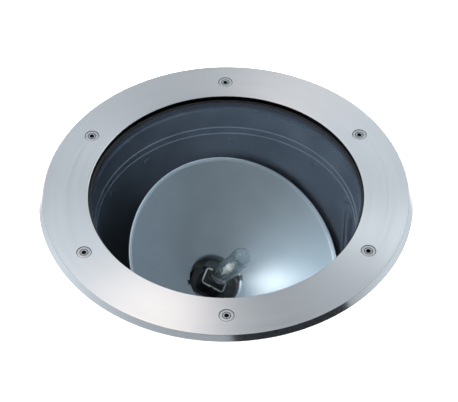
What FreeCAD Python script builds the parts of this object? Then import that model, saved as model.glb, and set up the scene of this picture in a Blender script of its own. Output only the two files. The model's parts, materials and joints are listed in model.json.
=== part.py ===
"""Recessed ground luminaire: trim ring, walk-over glass, cast pot, turning and tilting
spun reflector, single-ended discharge lamp, and the control gear below the shelf.

Millimetres, +Z up, origin at the centre of the base. The optic is drawn upright about its own
tilt axis (local Y) and then placed at the angle it is set to.
"""
import FreeCAD, Part

import math
import os
import re

import Sketcher
from FreeCAD import Placement, Rotation, Vector

DOC = FreeCAD.newDocument("ground_light")

DIMENSIONS = (
    # heights of the whole light, from the base up
    ("total_height", 300.0, "base to top of trim ring"),
    ("pivot_height", 184.7, "tilt axis above the base"),
    ("shelf_top", 90.0, "top of the shelf under the optic"),
    ("floor_top", 7.0, "inside floor of the pot"),
    # trim ring and its screws
    ("ring_radius", 170.0, "outer radius of the trim ring"),
    ("window_radius", 125.0, "inner radius of the trim ring"),
    ("ring_thickness", 5.0, "plate thickness"),
    ("ring_bevel", 4.0, "45 degree bevel on the outer edge"),
    ("ring_break", 0.5, "broken inner edge"),
    ("screw_circle", 144.5, "radius of the cover screw circle"),
    ("screw_count", 6, "cover screws"),
    ("screw_start", 30.0, "bearing of the first cover screw, degrees"),
    ("screw_radius", 3.0, "M6 shank"),
    ("screw_hole", 3.3, "clearance hole for the M6 shank"),
    ("screw_head", 6.4, "countersunk head radius"),
    ("screw_sink", 6.8, "countersink radius in the ring"),
    ("screw_length", 22.0, "overall length"),
    ("hex_key", 4.0, "hexagon socket across flats"),
    ("key_depth", 2.4, "depth of a hexagon socket"),
    ("head_edge", 0.3, "upright edge of the countersunk head"),
    ("tip_chamfer", 0.6, "chamfer on the screw's tip"),
    ("head_inset", 0.2, "head top below the ring top"),
    # glass and gasket
    ("glass_radius", 132.0, "glass disc radius"),
    ("glass_thickness", 12.0, "toughened glass"),
    ("glass_break", 1.0, "ground edge chamfer"),
    ("gasket_radius", 135.7, "outer radius of the gasket"),
    ("gasket_lip", 1.0, "thickness of the gasket above the glass"),
    ("gasket_leg", 2.5, "thickness of the gasket under the glass"),
    ("lip_radius", 122.9, "inner radius of the upper gasket lip"),
    ("leg_radius", 124.5, "inner radius of the lower gasket leg"),
    # pot
    ("flange_radius", 164.0, "flange that carries the trim ring"),
    ("flange_thickness", 9.0, "flange thickness"),
    ("recess_radius", 136.0, "recess for glass and gasket"),
    ("rim_wall_radius", 140.0, "outside of the recess wall"),
    ("rim_wall_depth", 32.0, "foot of the recess wall below the ring top"),
    ("wall_radius", 121.5, "inside of the pot at the glass seat"),
    ("band_radius", 120.4, "inside of the raised band"),
    ("band_top", 43.3, "band top below the ring top"),
    ("band_foot", 50.4, "band foot below the ring top"),
    ("band_step", 0.8, "step back under the band"),
    ("wall_foot", 117.6, "inside of the pot at its floor"),
    ("shoulder_depth", 46.0, "outer shoulder below the ring top"),
    ("shoulder_radius", 127.0, "outside of the pot under the shoulder"),
    ("outer_foot", 123.5, "outside of the pot at its base"),
    ("boss_radius", 7.5, "cover screw boss"),
    ("gusset_width", 4.0, "stiffening rib under the flange"),
    ("gusset_drop", 26.0, "foot of the gusset below the shoulder"),
    ("rib_bearing", 13.0, "bearing of the guide rib, degrees"),
    ("rib_width", 19.0, "guide rib width"),
    ("rib_face", 115.5, "radius of the guide rib's face"),
    ("rib_groove", 5.0, "groove down the guide rib"),
    ("rib_groove_depth", 2.2, "depth of that groove"),
    ("rib_top", 52.0, "guide rib top below the ring top"),
    ("pad_depth", 60.0, "ejector pads below the ring top"),
    ("pad_radius", 3.2, "ejector pad radius"),
    ("lug_reach", 134.0, "radius of the anchor holes in the feet"),
    ("lug_radius", 11.0, "foot lug end radius"),
    ("lug_height", 10.0, "foot lug thickness"),
    ("lug_root", 12.0, "how far the lug runs into the pot's wall"),
    ("lug_corner", 5.0, "cut corners of the lug"),
    ("anchor_hole", 4.5, "anchor hole radius"),
    ("pillar_circle", 105.0, "radius of the shelf pillars"),
    ("pillar_radius", 6.5, "shelf pillar"),
    ("pillar_bearing", 70.0, "bearing of the first shelf pillar, clear of the glands"),
    ("pillar_tapping", 14.0, "depth of the tapped hole in a shelf pillar"),
    ("stud_x", -30.0, "earth stud, across"),
    ("stud_y", 84.0, "earth stud, towards the back"),
    ("stud_radius", 2.5, "M5 earth stud"),
    ("stud_boss", 6.0, "radius of the boss round the earth stud"),
    ("stud_boss_height", 3.0, "boss of the earth stud above the floor"),
    # cable glands
    ("gland_height", 45.0, "gland axis above the base"),
    ("gland_face", 131.0, "outer face of the gland boss"),
    ("gland_boss", 16.0, "gland boss radius"),
    ("gland_thread", 10.0, "gland thread radius"),
    ("gland_flat", 118.3, "flat for the locknut inside the wall"),
    ("gland_hex", 24.0, "gland across flats"),
    ("cable_bore", 6.5, "hole through the seal"),
    ("seal_length", 12.0, "length of the gland seal"),
    ("seal_radius", 8.6, "outside of the gland seal"),
    ("gland_flange", 6.0, "thickness of the gland's hexagon"),
    ("gland_bore", 7.6, "bore of the gland's stem"),
    ("gland_collar", 11.0, "collar that the dome nut runs on"),
    ("gland_collar_length", 10.0, "length of that collar"),
    ("locknut_thickness", 5.0, "gland locknut"),
    ("dome_bore", 11.2, "bore of the dome nut"),
    ("dome_mouth", 7.4, "mouth of the dome nut"),
    ("dome_lift", 6.2, "foot of the dome nut outside the boss"),
    ("dome_end", 20.6, "end of the dome nut outside the boss"),
    # shelf and pan bearing
    ("shelf_radius", 113.0, "shelf disc"),
    ("shelf_thickness", 2.0, "shelf sheet"),
    ("wire_hole", 14.0, "wire hole radius"),
    ("wire_hole_x", -30.0, "wire hole, across"),
    ("wire_hole_y", -66.0, "wire hole, towards the front"),
    ("shelf_screw", 2.5, "M5 shelf screw"),
    ("shelf_screw_hole", 2.7, "clearance hole for the shelf screw"),
    ("shelf_screw_head", 4.6, "shelf screw head radius"),
    ("shelf_screw_rise", 3.4, "height of the shelf screw's head"),
    ("shelf_screw_reach", 12.0, "length of the shelf screw under the shelf"),
    ("bearing_flats", 16.0, "pan bolt and nut across flats"),
    ("bearing_nut", 5.0, "pan nut"),
    ("bearing_head", 4.0, "pan bolt head"),
    ("pan_bolt_radius", 5.0, "M10 pan bolt"),
    ("running_gap", 0.05, "radial gap of a turning fit"),
    ("face_gap", 0.15, "gap between turning faces"),
    ("pan_washer_radius", 20.0, "friction washer under the yoke"),
    ("pan_washer_thickness", 1.0, "friction washer"),
    # yoke
    ("yoke_sheet", 3.0, "yoke steel"),
    ("yoke_hub", 38.0, "round middle of the yoke base"),
    ("yoke_half_width", 18.0, "half width of the yoke strip"),
    ("arm_inner", 94.0, "inner face of the yoke arms"),
    ("arm_end_radius", 10.0, "rounded end of the yoke arms"),
    ("arm_taper", 46.0, "where the arms begin to narrow, below the tilt axis"),
    ("lock_offset", 62.0, "pan lock screw from the pan bolt"),
    ("lock_screw", 3.0, "M6 pan lock screw"),
    ("lock_head", 6.5, "knurled head of the pan lock screw"),
    ("lock_head_rise", 6.0, "height of that head"),
    ("lock_tip_gap", 0.2, "tip of the lock screw above the shelf"),
    # optic: drawn about the tilt axis
    ("pan_angle", -45.0, "bearing that the optic faces, degrees"),
    ("tilt_angle", 30.0, "tilt from upright, degrees"),
    ("rim_height", 24.0, "reflector rim above the tilt axis"),
    ("rim_radius", 106.0, "outside of the reflector rim"),
    ("focal_length", 43.2, "focal length of the reflector"),
    ("bowl_vertex", -35.5, "vertex of the reflecting surface"),
    ("bowl_wall", 1.8, "wall of the spun bowl, measured upright"),
    ("lip_thickness", 1.2, "turned lip"),
    ("lip_turn_down", 3.5, "height of the lip's turned-down edge"),
    ("neck_radius", 25.5, "lamp hole"),
    ("neck_wall", 1.2, "neck wall"),
    ("neck_foot", -44.0, "lower end of the neck"),
    ("neck_roll", 29.5, "rolled edge under the collar"),
    ("notch_reach", 29.0, "relief notches beside the lamp hole"),
    ("notch_width", 5.0, "relief notch width"),
    ("notch_bearing", 60.0, "bearing of the relief notches, degrees"),
    ("collar_radius", 44.0, "collar behind the bowl"),
    ("collar_foot", -44.2, "flat underside of the collar"),
    ("pad_face", 93.0, "outer face of the trunnion pads"),
    ("pad_half_width", 13.0, "half width of the trunnion pads"),
    ("pad_drop", 14.0, "trunnion pad below the tilt axis"),
    ("pad_rise", 8.0, "trunnion pad above the tilt axis"),
    ("pad_root", 62.0, "inner end of the trunnion pad's block, inside the bowl"),
    ("tilt_bolt_radius", 3.0, "M6 tilt bolt"),
    ("tilt_bolt_head", 5.5, "tilt bolt head radius"),
    ("tilt_head_rise", 4.5, "height of the tilt bolt's head"),
    ("tilt_washer", 9.0, "tilt washer radius"),
    ("tilt_bolt_end", 83.5, "inner end of the tilt bolt"),
    # lampholder, drawn along the optical axis
    ("lamp_turn", 27.0, "turn of the lamp about its axis, degrees"),
    ("holder_top", -50.2, "top of the lampholder"),
    ("holder_foot", -74.0, "underside of the lampholder"),
    ("holder_length", 38.0, "lampholder length"),
    ("holder_width", 27.0, "lampholder width"),
    ("pin_hole", 1.55, "contact holes"),
    ("pin_pitch", 12.0, "distance between the lamp pins"),
    ("bracket_sheet", 1.5, "lampholder bracket steel"),
    ("bracket_width", 24.0, "bracket width"),
    ("bracket_reach", 42.0, "outer end of the bracket feet"),
    ("bracket_screw_circle", 36.5, "screws through the bracket feet"),
    ("small_screw", 2.0, "M4 screw"),
    ("small_screw_hole", 2.05, "close hole for the M4 screws of the lampholder"),
    ("small_screw_reach", 6.0, "length of those screws beyond the sheet"),
    ("holder_inset", 8.0, "fixing holes from the ends of the lampholder"),
    # lamp
    ("lamp_radius", 9.5, "outer envelope"),
    ("lamp_tip", 50.0, "top of the lamp above the tilt axis"),
    ("lamp_wall", 1.1, "quartz wall"),
    ("base_top", -31.0, "top of the lamp base"),
    ("base_foot", -50.0, "seating face of the lamp base"),
    ("base_length", 24.3, "lamp base length"),
    ("base_width", 18.0, "lamp base width"),
    ("base_border", 1.5, "raised border of the lamp base"),
    ("pin_radius", 1.15, "lamp pin"),
    ("pin_end", -62.0, "tip of the lamp pins"),
    ("arc_centre", 7.0, "centre of the arc tube"),
    ("arc_radius", 3.9, "arc tube"),
    # control gear
    ("tray_top", 13.5, "upper face of the gear tray"),
    ("tray_sheet", 1.5, "gear tray sheet"),
    ("tray_length", 160.0, "gear tray along X"),
    ("tray_depth", 116.0, "gear tray along Y"),
    ("tray_edge", 9.0, "folded edge of the gear tray"),
    ("tray_inset_x", 10.0, "tray screws from the ends of the tray"),
    ("tray_inset_y", 8.0, "tray screws from the long edges of the tray"),
    ("tray_boss", 5.0, "radius of the bosses under the tray"),
    ("tray_screw_hole", 2.2, "clearance hole for the tray screws"),
    ("core_length", 84.0, "ballast iron"),
    ("core_depth", 54.0, "ballast iron"),
    ("core_height", 60.0, "ballast iron"),
    ("coil_length", 110.0, "ballast coil end to end"),
    ("coil_width", 34.0, "ballast coil"),
    ("coil_height", 36.0, "ballast coil"),
    ("ballast_x", -6.0, "middle of the ballast, across"),
    ("ballast_y", -24.0, "middle of the ballast, towards the front"),
    ("ballast_foot", 3.0, "thickness of the ballast's feet"),
    ("ballast_foot_reach", 13.0, "reach of the ballast's feet"),
    ("ballast_bolt", 2.1, "ballast bolt"),
    ("can_radius", 15.0, "capacitor can"),
    ("can_length", 76.0, "capacitor can"),
    ("can_x", -66.0, "closed end of the capacitor can"),
    ("can_y", 33.0, "axis of the capacitor can"),
    ("can_lift", 0.6, "gap under the capacitor can"),
    ("clip_sheet", 1.2, "capacitor clip"),
    ("clip_width", 14.0, "capacitor clip"),
    ("ignitor_radius", 16.0, "ignitor can"),
    ("ignitor_height", 52.0, "ignitor can"),
    ("ignitor_x", 62.0, "ignitor, across"),
    ("ignitor_y", 26.0, "ignitor, towards the back"),
    ("ignitor_stud", 4.0, "M8 stud of the ignitor"),
    ("ignitor_nut", 3.8, "thickness of the ignitor's nut"),
    ("block_x", 66.0, "terminal block, across"),
    ("block_y", -20.0, "terminal block, towards the front"),
    ("block_depth", 20.0, "terminal block, across"),
    ("block_length", 46.0, "terminal block along Y"),
    ("block_height", 20.0, "terminal block"),
    ("block_pitch", 14.0, "distance between the terminals"),
)

SHEET = DOC.addObject("Spreadsheet::Sheet", "Dims")
for row, (alias, number, note) in enumerate(DIMENSIONS, 1):
    SHEET.set("A%d" % row, alias)
    SHEET.set("B%d" % row, str(number))
    SHEET.setAlias("B%d" % row, alias)
    SHEET.set("C%d" % row, note)
DOC.recompute()

ALIASES = {entry[0] for entry in DIMENSIONS}
WHOLE_TURN = 360.0
PARTS = []


def formula(text):
    """Write an expression on the sheet's aliases in full."""
    return re.sub(r"[a-z][a-z_]*", lambda word: _full_name(word.group(0)), text)


def _full_name(word):
    return "Dims." + word if word in ALIASES else word


def value(text):
    """Work out an expression on the sheet's aliases."""
    return float(SHEET.evalExpression(formula(text)))


def bind(item, name, text):
    """Tie one property of an object to the sheet."""
    item.setExpression(name, formula(text))


def below_top(depth):
    """Height of something that lies a given depth below the top of the ring."""
    return "total_height - (%s)" % depth


def optic_frame():
    """Place of the optic: its local Z is the beam axis, its local Y the tilt axis."""
    pan = Rotation(Vector(0, 0, 1), value("pan_angle"))
    tilt = Rotation(Vector(0, 1, 0), value("tilt_angle"))
    return Placement(Vector(0, 0, value("pivot_height")), pan.multiply(tilt))


def lamp_frame():
    """Place of the lamp: the optic's frame, turned about the beam axis."""
    turn = Placement(Vector(0, 0, 0), Rotation(Vector(0, 0, 1), value("lamp_turn")))
    return optic_frame().multiply(turn)


def yoke_frame():
    """Place of the yoke: turned with the pan angle and never tilted."""
    return Placement(Vector(0, 0, 0), Rotation(Vector(0, 0, 1), value("pan_angle")))


class Piece:
    """One separate piece of the light, drawn as a body with sketches and features."""

    def __init__(self, label, place=None):
        self.body = DOC.addObject("PartDesign::Body", label)
        self.body.Label = label
        self.body.AllowCompound = True
        self.label = label
        if place is not None:
            self.body.Placement = place
        PARTS.append(self.body)

    def origin(self, role):
        """One of the body's own planes or axes."""
        return next(item for item in self.body.Origin.OriginFeatures if item.Role == role)

    def sketch(self, plane="XY_Plane", lift="0", across="0", up="0", turn=0.0):
        """Lay an empty sketch on an origin plane, lifted along its normal."""
        drawing = self.body.newObject("Sketcher::SketchObject", self.label + "_sketch")
        drawing.AttachmentSupport = (self.origin(plane), [""])
        drawing.MapMode = "FlatFace"
        drawing.AttachmentOffset = Placement(Vector(0, 0, 0), Rotation(Vector(0, 0, 1), turn))
        for axis, text in (("x", across), ("y", up), ("z", lift)):
            bind(drawing, "AttachmentOffset.Base." + axis, text)
        return drawing

    def add(self, kind, drawing):
        """Add one feature that reads a sketch."""
        feature = self.body.newObject("PartDesign::" + kind, self.label + "_" + kind.lower())
        feature.Profile = drawing
        drawing.Visibility = False
        return feature

    def pad(self, drawing, length, centred=False, backwards=False):
        feature = self.add("Pad", drawing)
        bind(feature, "Length", length)
        feature.Midplane = centred
        feature.Reversed = backwards
        DOC.recompute()
        return feature

    def pocket(self, drawing, depth=None, centred=False, backwards=False):
        before = self.body.Shape.Volume
        feature = self.add("Pocket", drawing)
        feature.Midplane = centred
        feature.Reversed = backwards
        if depth is None:
            feature.Type = "ThroughAll"
        else:
            bind(feature, "Length", depth)
        DOC.recompute()
        self.must_cut(before, feature)
        return feature

    def revolve(self, drawing):
        feature = self.add("Revolution", drawing)
        feature.ReferenceAxis = (drawing, ["V_Axis"])
        feature.Angle = WHOLE_TURN
        DOC.recompute()
        return feature

    def groove(self, drawing):
        before = self.body.Shape.Volume
        feature = self.add("Groove", drawing)
        feature.ReferenceAxis = (drawing, ["V_Axis"])
        feature.Angle = WHOLE_TURN
        DOC.recompute()
        self.must_cut(before, feature)
        return feature

    def must_cut(self, before, feature):
        if self.body.Shape.Volume > before - 1e-3:
            raise RuntimeError("%s removes nothing from %s" % (feature.Name, self.label))

    def around(self, features, count):
        """Repeat features round the local Z axis."""
        pattern = self.body.newObject("PartDesign::PolarPattern", self.label + "_round")
        pattern.Originals = features
        pattern.Axis = (self.origin("Z_Axis"), [""])
        pattern.Angle = WHOLE_TURN
        bind(pattern, "Occurrences", count)
        self.body.Tip = pattern
        DOC.recompute()
        return pattern

    def mirror(self, features, plane):
        """Repeat features on the other side of an origin plane."""
        copy = self.body.newObject("PartDesign::Mirrored", self.label + "_mirrored")
        copy.Originals = features
        copy.MirrorPlane = (self.origin(plane), [""])
        self.body.Tip = copy
        DOC.recompute()
        return copy

    def dress(self, kind, size, wanted):
        """Round (Fillet) or bevel (Chamfer) the edges that the test picks out."""
        base = self.body.Tip
        names = ["Edge%d" % (index + 1) for index, edge in enumerate(base.Shape.Edges) if wanted(edge)]
        if not names:
            raise RuntimeError("no edge to dress on " + self.label)
        feature = self.body.newObject("PartDesign::" + kind, self.label + "_" + kind.lower())
        feature.Base = (base, names)
        bind(feature, "Radius" if kind == "Fillet" else "Size", size)
        DOC.recompute()
        return feature


def outline(drawing, points):
    """Draw a closed outline, its corners tied to the sheet."""
    corners = [Vector(value(x), value(y), 0) for x, y in points]
    count = len(corners)
    first = drawing.GeometryCount
    for index, corner in enumerate(corners):
        drawing.addGeometry(Part.LineSegment(corner, corners[(index + 1) % count]))
    for index in range(count):
        follower = first + (index + 1) % count
        drawing.addConstraint(Sketcher.Constraint("Coincident", first + index, 2, follower, 1))
    for index, (x, y) in enumerate(points):
        place(drawing, first + index, 1, x, y)
    return drawing


def place(drawing, line, end, x, y):
    """Tie one point of a sketch to the sheet."""
    for kind, axis, text in (("DistanceX", -2, x), ("DistanceY", -1, y)):
        if text == "0":
            drawing.addConstraint(Sketcher.Constraint("PointOnObject", line, end, axis))
            continue
        number = drawing.addConstraint(Sketcher.Constraint(kind, -1, 1, line, end, value(text)))
        bind(drawing, "Constraints[%d]" % number, text)


def disc(drawing, radius, x="0", y="0"):
    """Draw a circle, its size and centre tied to the sheet."""
    centre = Vector(value(x), value(y), 0)
    line = drawing.addGeometry(Part.Circle(centre, Vector(0, 0, 1), value(radius)))
    number = drawing.addConstraint(Sketcher.Constraint("Radius", line, value(radius)))
    bind(drawing, "Constraints[%d]" % number, radius)
    place(drawing, line, 3, x, y)
    return drawing


def rectangle(drawing, width, depth, x="0", y="0"):
    """Draw a rectangle about a centre."""
    low_x, high_x = ("%s - (%s)/2" % (x, width), "%s + (%s)/2" % (x, width))
    low_y, high_y = ("%s - (%s)/2" % (y, depth), "%s + (%s)/2" % (y, depth))
    return outline(drawing, ((low_x, low_y), (high_x, low_y), (high_x, high_y), (low_x, high_y)))


def hexagon(drawing, flats, x="0", y="0"):
    """Draw a hexagon from its width across flats."""
    points = []
    for step in range(6):
        angle = 60 * step
        reach = "(%s)/2/cos(30 deg)" % flats
        points.append(("%s + %s*cos(%d deg)" % (x, reach, angle),
                       "%s + %s*sin(%d deg)" % (y, reach, angle)))
    return outline(drawing, points)


def upright(edge):
    """True for an edge along the local Z axis."""
    first, last = edge.Vertexes[0].Point, edge.Vertexes[-1].Point
    rise = abs(last.z - first.z)
    return rise > 1e-3 and math.hypot(last.x - first.x, last.y - first.y) < 1e-6


def polar(radius, angle):
    """Both coordinates of a point at a bearing, as expressions."""
    return ("(%s)*cos((%s)*1 deg)" % (radius, angle), "(%s)*sin((%s)*1 deg)" % (radius, angle))


def free_piece(label, shape, frame=None):
    """One separate piece whose form no sketch gives, as a plain feature."""
    item = DOC.addObject("Part::Feature", label)
    item.Label = label
    item.Shape = shape
    if frame is not None:
        item.Placement = frame
    PARTS.append(item)
    return item


# ---------------------------------------------------------------- cover


def make_trim_ring():
    """Trim ring: flat plate, bevelled rim, six countersunk holes."""
    ring = Piece("trim_ring", Placement(Vector(0, 0, 0), Rotation(Vector(0, 0, 1), value("screw_start"))))
    top, foot = "total_height", below_top("ring_thickness")
    profile = outline(ring.sketch("XZ_Plane"), (
        ("window_radius", foot),
        ("ring_radius", foot),
        ("ring_radius", below_top("ring_bevel")),
        ("ring_radius - ring_bevel", top),
        ("window_radius + ring_break", top),
        ("window_radius", below_top("ring_break")),
    ))
    ring.revolve(profile)
    sink_foot = below_top("screw_sink - screw_hole + head_inset")
    sink = outline(ring.sketch("XZ_Plane", across="screw_circle"), (
        ("0", foot + " - 1"),
        ("screw_hole", foot + " - 1"),
        ("screw_hole", sink_foot),
        ("screw_sink", below_top("head_inset")),
        ("screw_sink", top + " + 1"),
        ("0", top + " + 1"),
    ))
    ring.around([ring.groove(sink)], "screw_count")


def make_trim_screws():
    """Six countersunk M6 screws with hexagon sockets."""
    screws = Piece("trim_screws", Placement(Vector(0, 0, 0), Rotation(Vector(0, 0, 1), value("screw_start"))))
    head = below_top("head_inset")
    cone = below_top("head_inset + screw_head - screw_radius + head_edge")
    profile = outline(screws.sketch("XZ_Plane", across="screw_circle"), (
        ("0", below_top("screw_length")),
        ("screw_radius - tip_chamfer", below_top("screw_length")),
        ("screw_radius", below_top("screw_length - tip_chamfer")),
        ("screw_radius", cone),
        ("screw_head", below_top("head_inset + head_edge")),
        ("screw_head", head),
        ("0", head),
    ))
    body = screws.revolve(profile)
    socket = screws.pocket(hexagon(screws.sketch(lift=head), "hex_key", "screw_circle"), "key_depth")
    screws.around([body, socket], "screw_count")


def make_glass():
    """Toughened disc with ground edges."""
    glass = Piece("glass")
    top = below_top("ring_thickness + gasket_lip")
    foot = below_top("ring_thickness + gasket_lip + glass_thickness")
    glass.revolve(outline(glass.sketch("XZ_Plane"), (
        ("0", foot),
        ("glass_radius - glass_break", foot),
        ("glass_radius", foot + " + glass_break"),
        ("glass_radius", top + " - glass_break"),
        ("glass_radius - glass_break", top),
        ("0", top),
    )))


def make_glass_gasket():
    """Silicone channel round the glass, with a lip under the ring and a leg on the seat."""
    gasket = Piece("glass_gasket")
    top = below_top("ring_thickness")
    glass_top = below_top("ring_thickness + gasket_lip")
    glass_foot = below_top("ring_thickness + gasket_lip + glass_thickness")
    foot = glass_foot + " - gasket_leg"
    gasket.revolve(outline(gasket.sketch("XZ_Plane"), (
        ("leg_radius", foot),
        ("gasket_radius", foot),
        ("gasket_radius", top),
        ("lip_radius", top),
        ("lip_radius", glass_top),
        ("glass_radius", glass_top),
        ("glass_radius", glass_foot),
        ("leg_radius", glass_foot),
    )))


# ---------------------------------------------------------------- pot


def make_housing():
    """Die-cast pot: flange, glass seat, draughted wall, feet, ribs, bosses and pillars."""
    pot = Piece("housing")
    top = below_top("ring_thickness")
    seat = below_top("ring_thickness + gasket_lip + glass_thickness + gasket_leg")
    pot.revolve(outline(pot.sketch("XZ_Plane"), (
        ("0", "0"),
        ("outer_foot", "0"),
        ("shoulder_radius", below_top("shoulder_depth")),
        ("rim_wall_radius", below_top("rim_wall_depth")),
        ("rim_wall_radius", top + " - flange_thickness"),
        ("flange_radius", top + " - flange_thickness"),
        ("flange_radius", top),
        ("recess_radius", top),
        ("recess_radius", seat),
        ("wall_radius", seat),
        ("wall_radius", below_top("band_top")),
        ("band_radius", below_top("band_top")),
        ("band_radius", below_top("band_foot")),
        ("band_radius - band_step", below_top("band_foot")),
        ("wall_foot", "floor_top"),
        ("0", "floor_top"),
    )))
    make_flange_bosses(pot, top)
    make_feet(pot)
    make_guide_ribs(pot)
    make_ejector_pads(pot)
    make_floor_pillars(pot)
    make_gland_bosses(pot)
    split_casting(pot)


def split_casting(pot):
    """Write the one-piece casting as simple blocks that touch: floor, pillars, walls and flange."""
    whole = pot.body.Shape
    PARTS.remove(pot.body)
    reach = value("flange_radius") + 1.0
    floor, shelf, seat, top = (value(text) for text in (
        "floor_top", "shelf_top - shelf_thickness",
        below_top("ring_thickness + gasket_lip + glass_thickness + gasket_leg"), "total_height"))
    inside = cylinder(value("pillar_circle + pillar_radius + 0.5"), floor, shelf)
    pillars = cylinder(value("pillar_radius + 1"), floor, shelf)
    pillars.translate(polar_point("pillar_circle", "pillar_bearing"))
    pillars = round_the_axis(pillars, 3)
    free_piece("housing_pillars", whole.common(pillars))
    free_piece("housing_floor", whole.common(cylinder(reach, -1.0, floor).fuse(inside.cut(pillars))))
    gear_wall = whole.common(cylinder(reach, floor, shelf).cut(inside))
    for label, sector in gland_sectors(reach, floor, shelf):
        free_piece("housing_gear_" + label, gear_wall.common(sector))
    for name, low, high in (("wall", shelf, seat), ("flange", seat, top)):
        ring = whole.common(cylinder(reach, low, high))
        for label, sector in quarters(reach, low, high):
            free_piece("housing_%s_%s" % (name, label), ring.common(sector))


def cylinder(radius, low, high):
    """An upright cylinder on the pot's axis."""
    return Part.makeCylinder(radius, high - low, Vector(0, 0, low))


def polar_point(radius, bearing):
    """The point at a radius and a bearing that are given as expressions."""
    return Vector(*(value(text) for text in polar(radius, bearing)), 0)


def round_the_axis(shape, count):
    """Copies of a shape spread evenly round the pot's axis, as one compound."""
    copies = []
    for index in range(count):
        turned = shape.copy()
        turned.rotate(Vector(0, 0, 0), Vector(0, 0, 1), WHOLE_TURN * index / count)
        copies.append(turned)
    return Part.makeCompound(copies)


def block(left, right, front, back, low, high):
    """A box between planes."""
    return Part.makeBox(right - left, back - front, high - low, Vector(left, front, low))


def gland_sectors(reach, low, high):
    """Blocks that part the gear chamber's wall into two gland sides, a front and a back."""
    half = value("gland_boss") + 10.0
    return (("right", block(0.0, reach, -half, half, low, high)),
            ("left", block(-reach, 0.0, -half, half, low, high)),
            ("back", block(-reach, reach, half, reach, low, high)),
            ("front", block(-reach, reach, -reach, -half, low, high)))


def quarters(reach, low, high):
    """Blocks that part a ring into four quarters."""
    return (("back_right", block(0.0, reach, 0.0, reach, low, high)),
            ("back_left", block(-reach, 0.0, 0.0, reach, low, high)),
            ("front_left", block(-reach, 0.0, -reach, 0.0, low, high)),
            ("front_right", block(0.0, reach, -reach, 0.0, low, high)))


def make_flange_bosses(pot, top):
    """Screw bosses under the flange, their blind holes, and a gusset between each two."""
    hole_x, hole_y = polar("screw_circle", "screw_start")
    boss = pot.pad(disc(pot.sketch(lift=top + " - flange_thickness"), "boss_radius", hole_x, hole_y),
                   "rim_wall_depth - ring_thickness - flange_thickness", backwards=True)
    pot.around([boss], "screw_count")
    hole = pot.pocket(disc(pot.sketch(lift=top), "screw_hole", hole_x, hole_y), "screw_length - 1")
    pot.around([hole], "screw_count")
    gusset = outline(pot.sketch("XZ_Plane"), (
        ("shoulder_radius - 1", below_top("shoulder_depth + gusset_drop")),
        ("rim_wall_radius + 6", top + " - flange_thickness - 9"),
        ("flange_radius - 4", top + " - flange_thickness"),
        ("shoulder_radius - 1", top + " - flange_thickness"),
    ))
    rib = pot.pad(gusset, "gusset_width", centred=True)
    pot.around([rib], "screw_count")
    pot.pocket(disc(pot.sketch(lift=top), "recess_radius"), "gasket_lip + glass_thickness + gasket_leg")


def make_feet(pot):
    """Three anchor feet at the base, each with one hole."""
    foot = pot.sketch()
    outline(foot, (
        ("-lug_radius - lug_corner", "outer_foot - lug_root"),
        ("lug_radius + lug_corner", "outer_foot - lug_root"),
        ("lug_radius", "lug_reach + lug_radius - lug_corner"),
        ("lug_radius - lug_corner", "lug_reach + lug_radius"),
        ("-lug_radius + lug_corner", "lug_reach + lug_radius"),
        ("-lug_radius", "lug_reach + lug_radius - lug_corner"),
    ))
    lug = pot.pad(foot, "lug_height")
    pot.around([lug], "3")
    hole = pot.pocket(disc(pot.sketch(lift="lug_height"), "anchor_hole", "0", "lug_reach"), "lug_height")
    pot.around([hole], "3")
    inside = pot.sketch(lift="lug_height")
    pot.pocket(disc(inside, "wall_foot"), "lug_height - floor_top")


def make_guide_ribs(pot):
    """Two grooved upright ribs with rounded tops, opposite each other on the wall."""
    features = []
    for bearing in (value("rib_bearing"), value("rib_bearing") + 180.0):
        turn = Rotation(Vector(0, 1, 0), bearing)
        ridge = pot.sketch("YZ_Plane")
        spine = below_top("rib_top + rib_width/2")
        outline(ridge, (
            ("-rib_width/2", "floor_top"),
            ("rib_width/2", "floor_top"),
            ("rib_width/2", spine),
            ("rib_width*0.35", spine + " + rib_width*0.357"),
            ("0", spine + " + rib_width/2"),
            ("-rib_width*0.35", spine + " + rib_width*0.357"),
            ("-rib_width/2", spine),
        ))
        seat_ridge(ridge, turn)
        features.append(pot.pad(ridge, "wall_radius - rib_face - 1"))
        slot = pot.sketch("YZ_Plane")
        outline(slot, (
            ("-rib_groove/2", "shelf_top"),
            ("rib_groove/2", "shelf_top"),
            ("rib_groove/2", spine),
            ("-rib_groove/2", spine),
        ))
        seat_ridge(slot, turn)
        pot.pocket(slot, "rib_groove_depth", backwards=True)
    return features


def seat_ridge(drawing, turn):
    """Stand a sketch off the pot's axis at the rib's face, turned to its bearing."""
    offset = turn.multVec(Vector(0, 0, value("rib_face")))
    for axis in "xyz":
        drawing.setExpression("AttachmentOffset.Base." + axis, None)
    drawing.AttachmentOffset = Placement(offset, turn)


EJECTOR_BEARINGS = (20.0, 46.5, 88.0, 129.5, 156.0)


def make_ejector_pads(pot):
    """Shallow round pads that the casting tool leaves on the wall."""
    for bearing in EJECTOR_BEARINGS:
        turn = Rotation(Vector(0, 1, 0), bearing)
        pad = pot.sketch("YZ_Plane")
        disc(pad, "pad_radius", "0", below_top("pad_depth"))
        for axis in "xyz":
            pad.setExpression("AttachmentOffset.Base." + axis, None)
        pad.AttachmentOffset = Placement(turn.multVec(Vector(0, 0, value("wall_foot + 0.5"))), turn)
        pot.pad(pad, "3")


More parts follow.
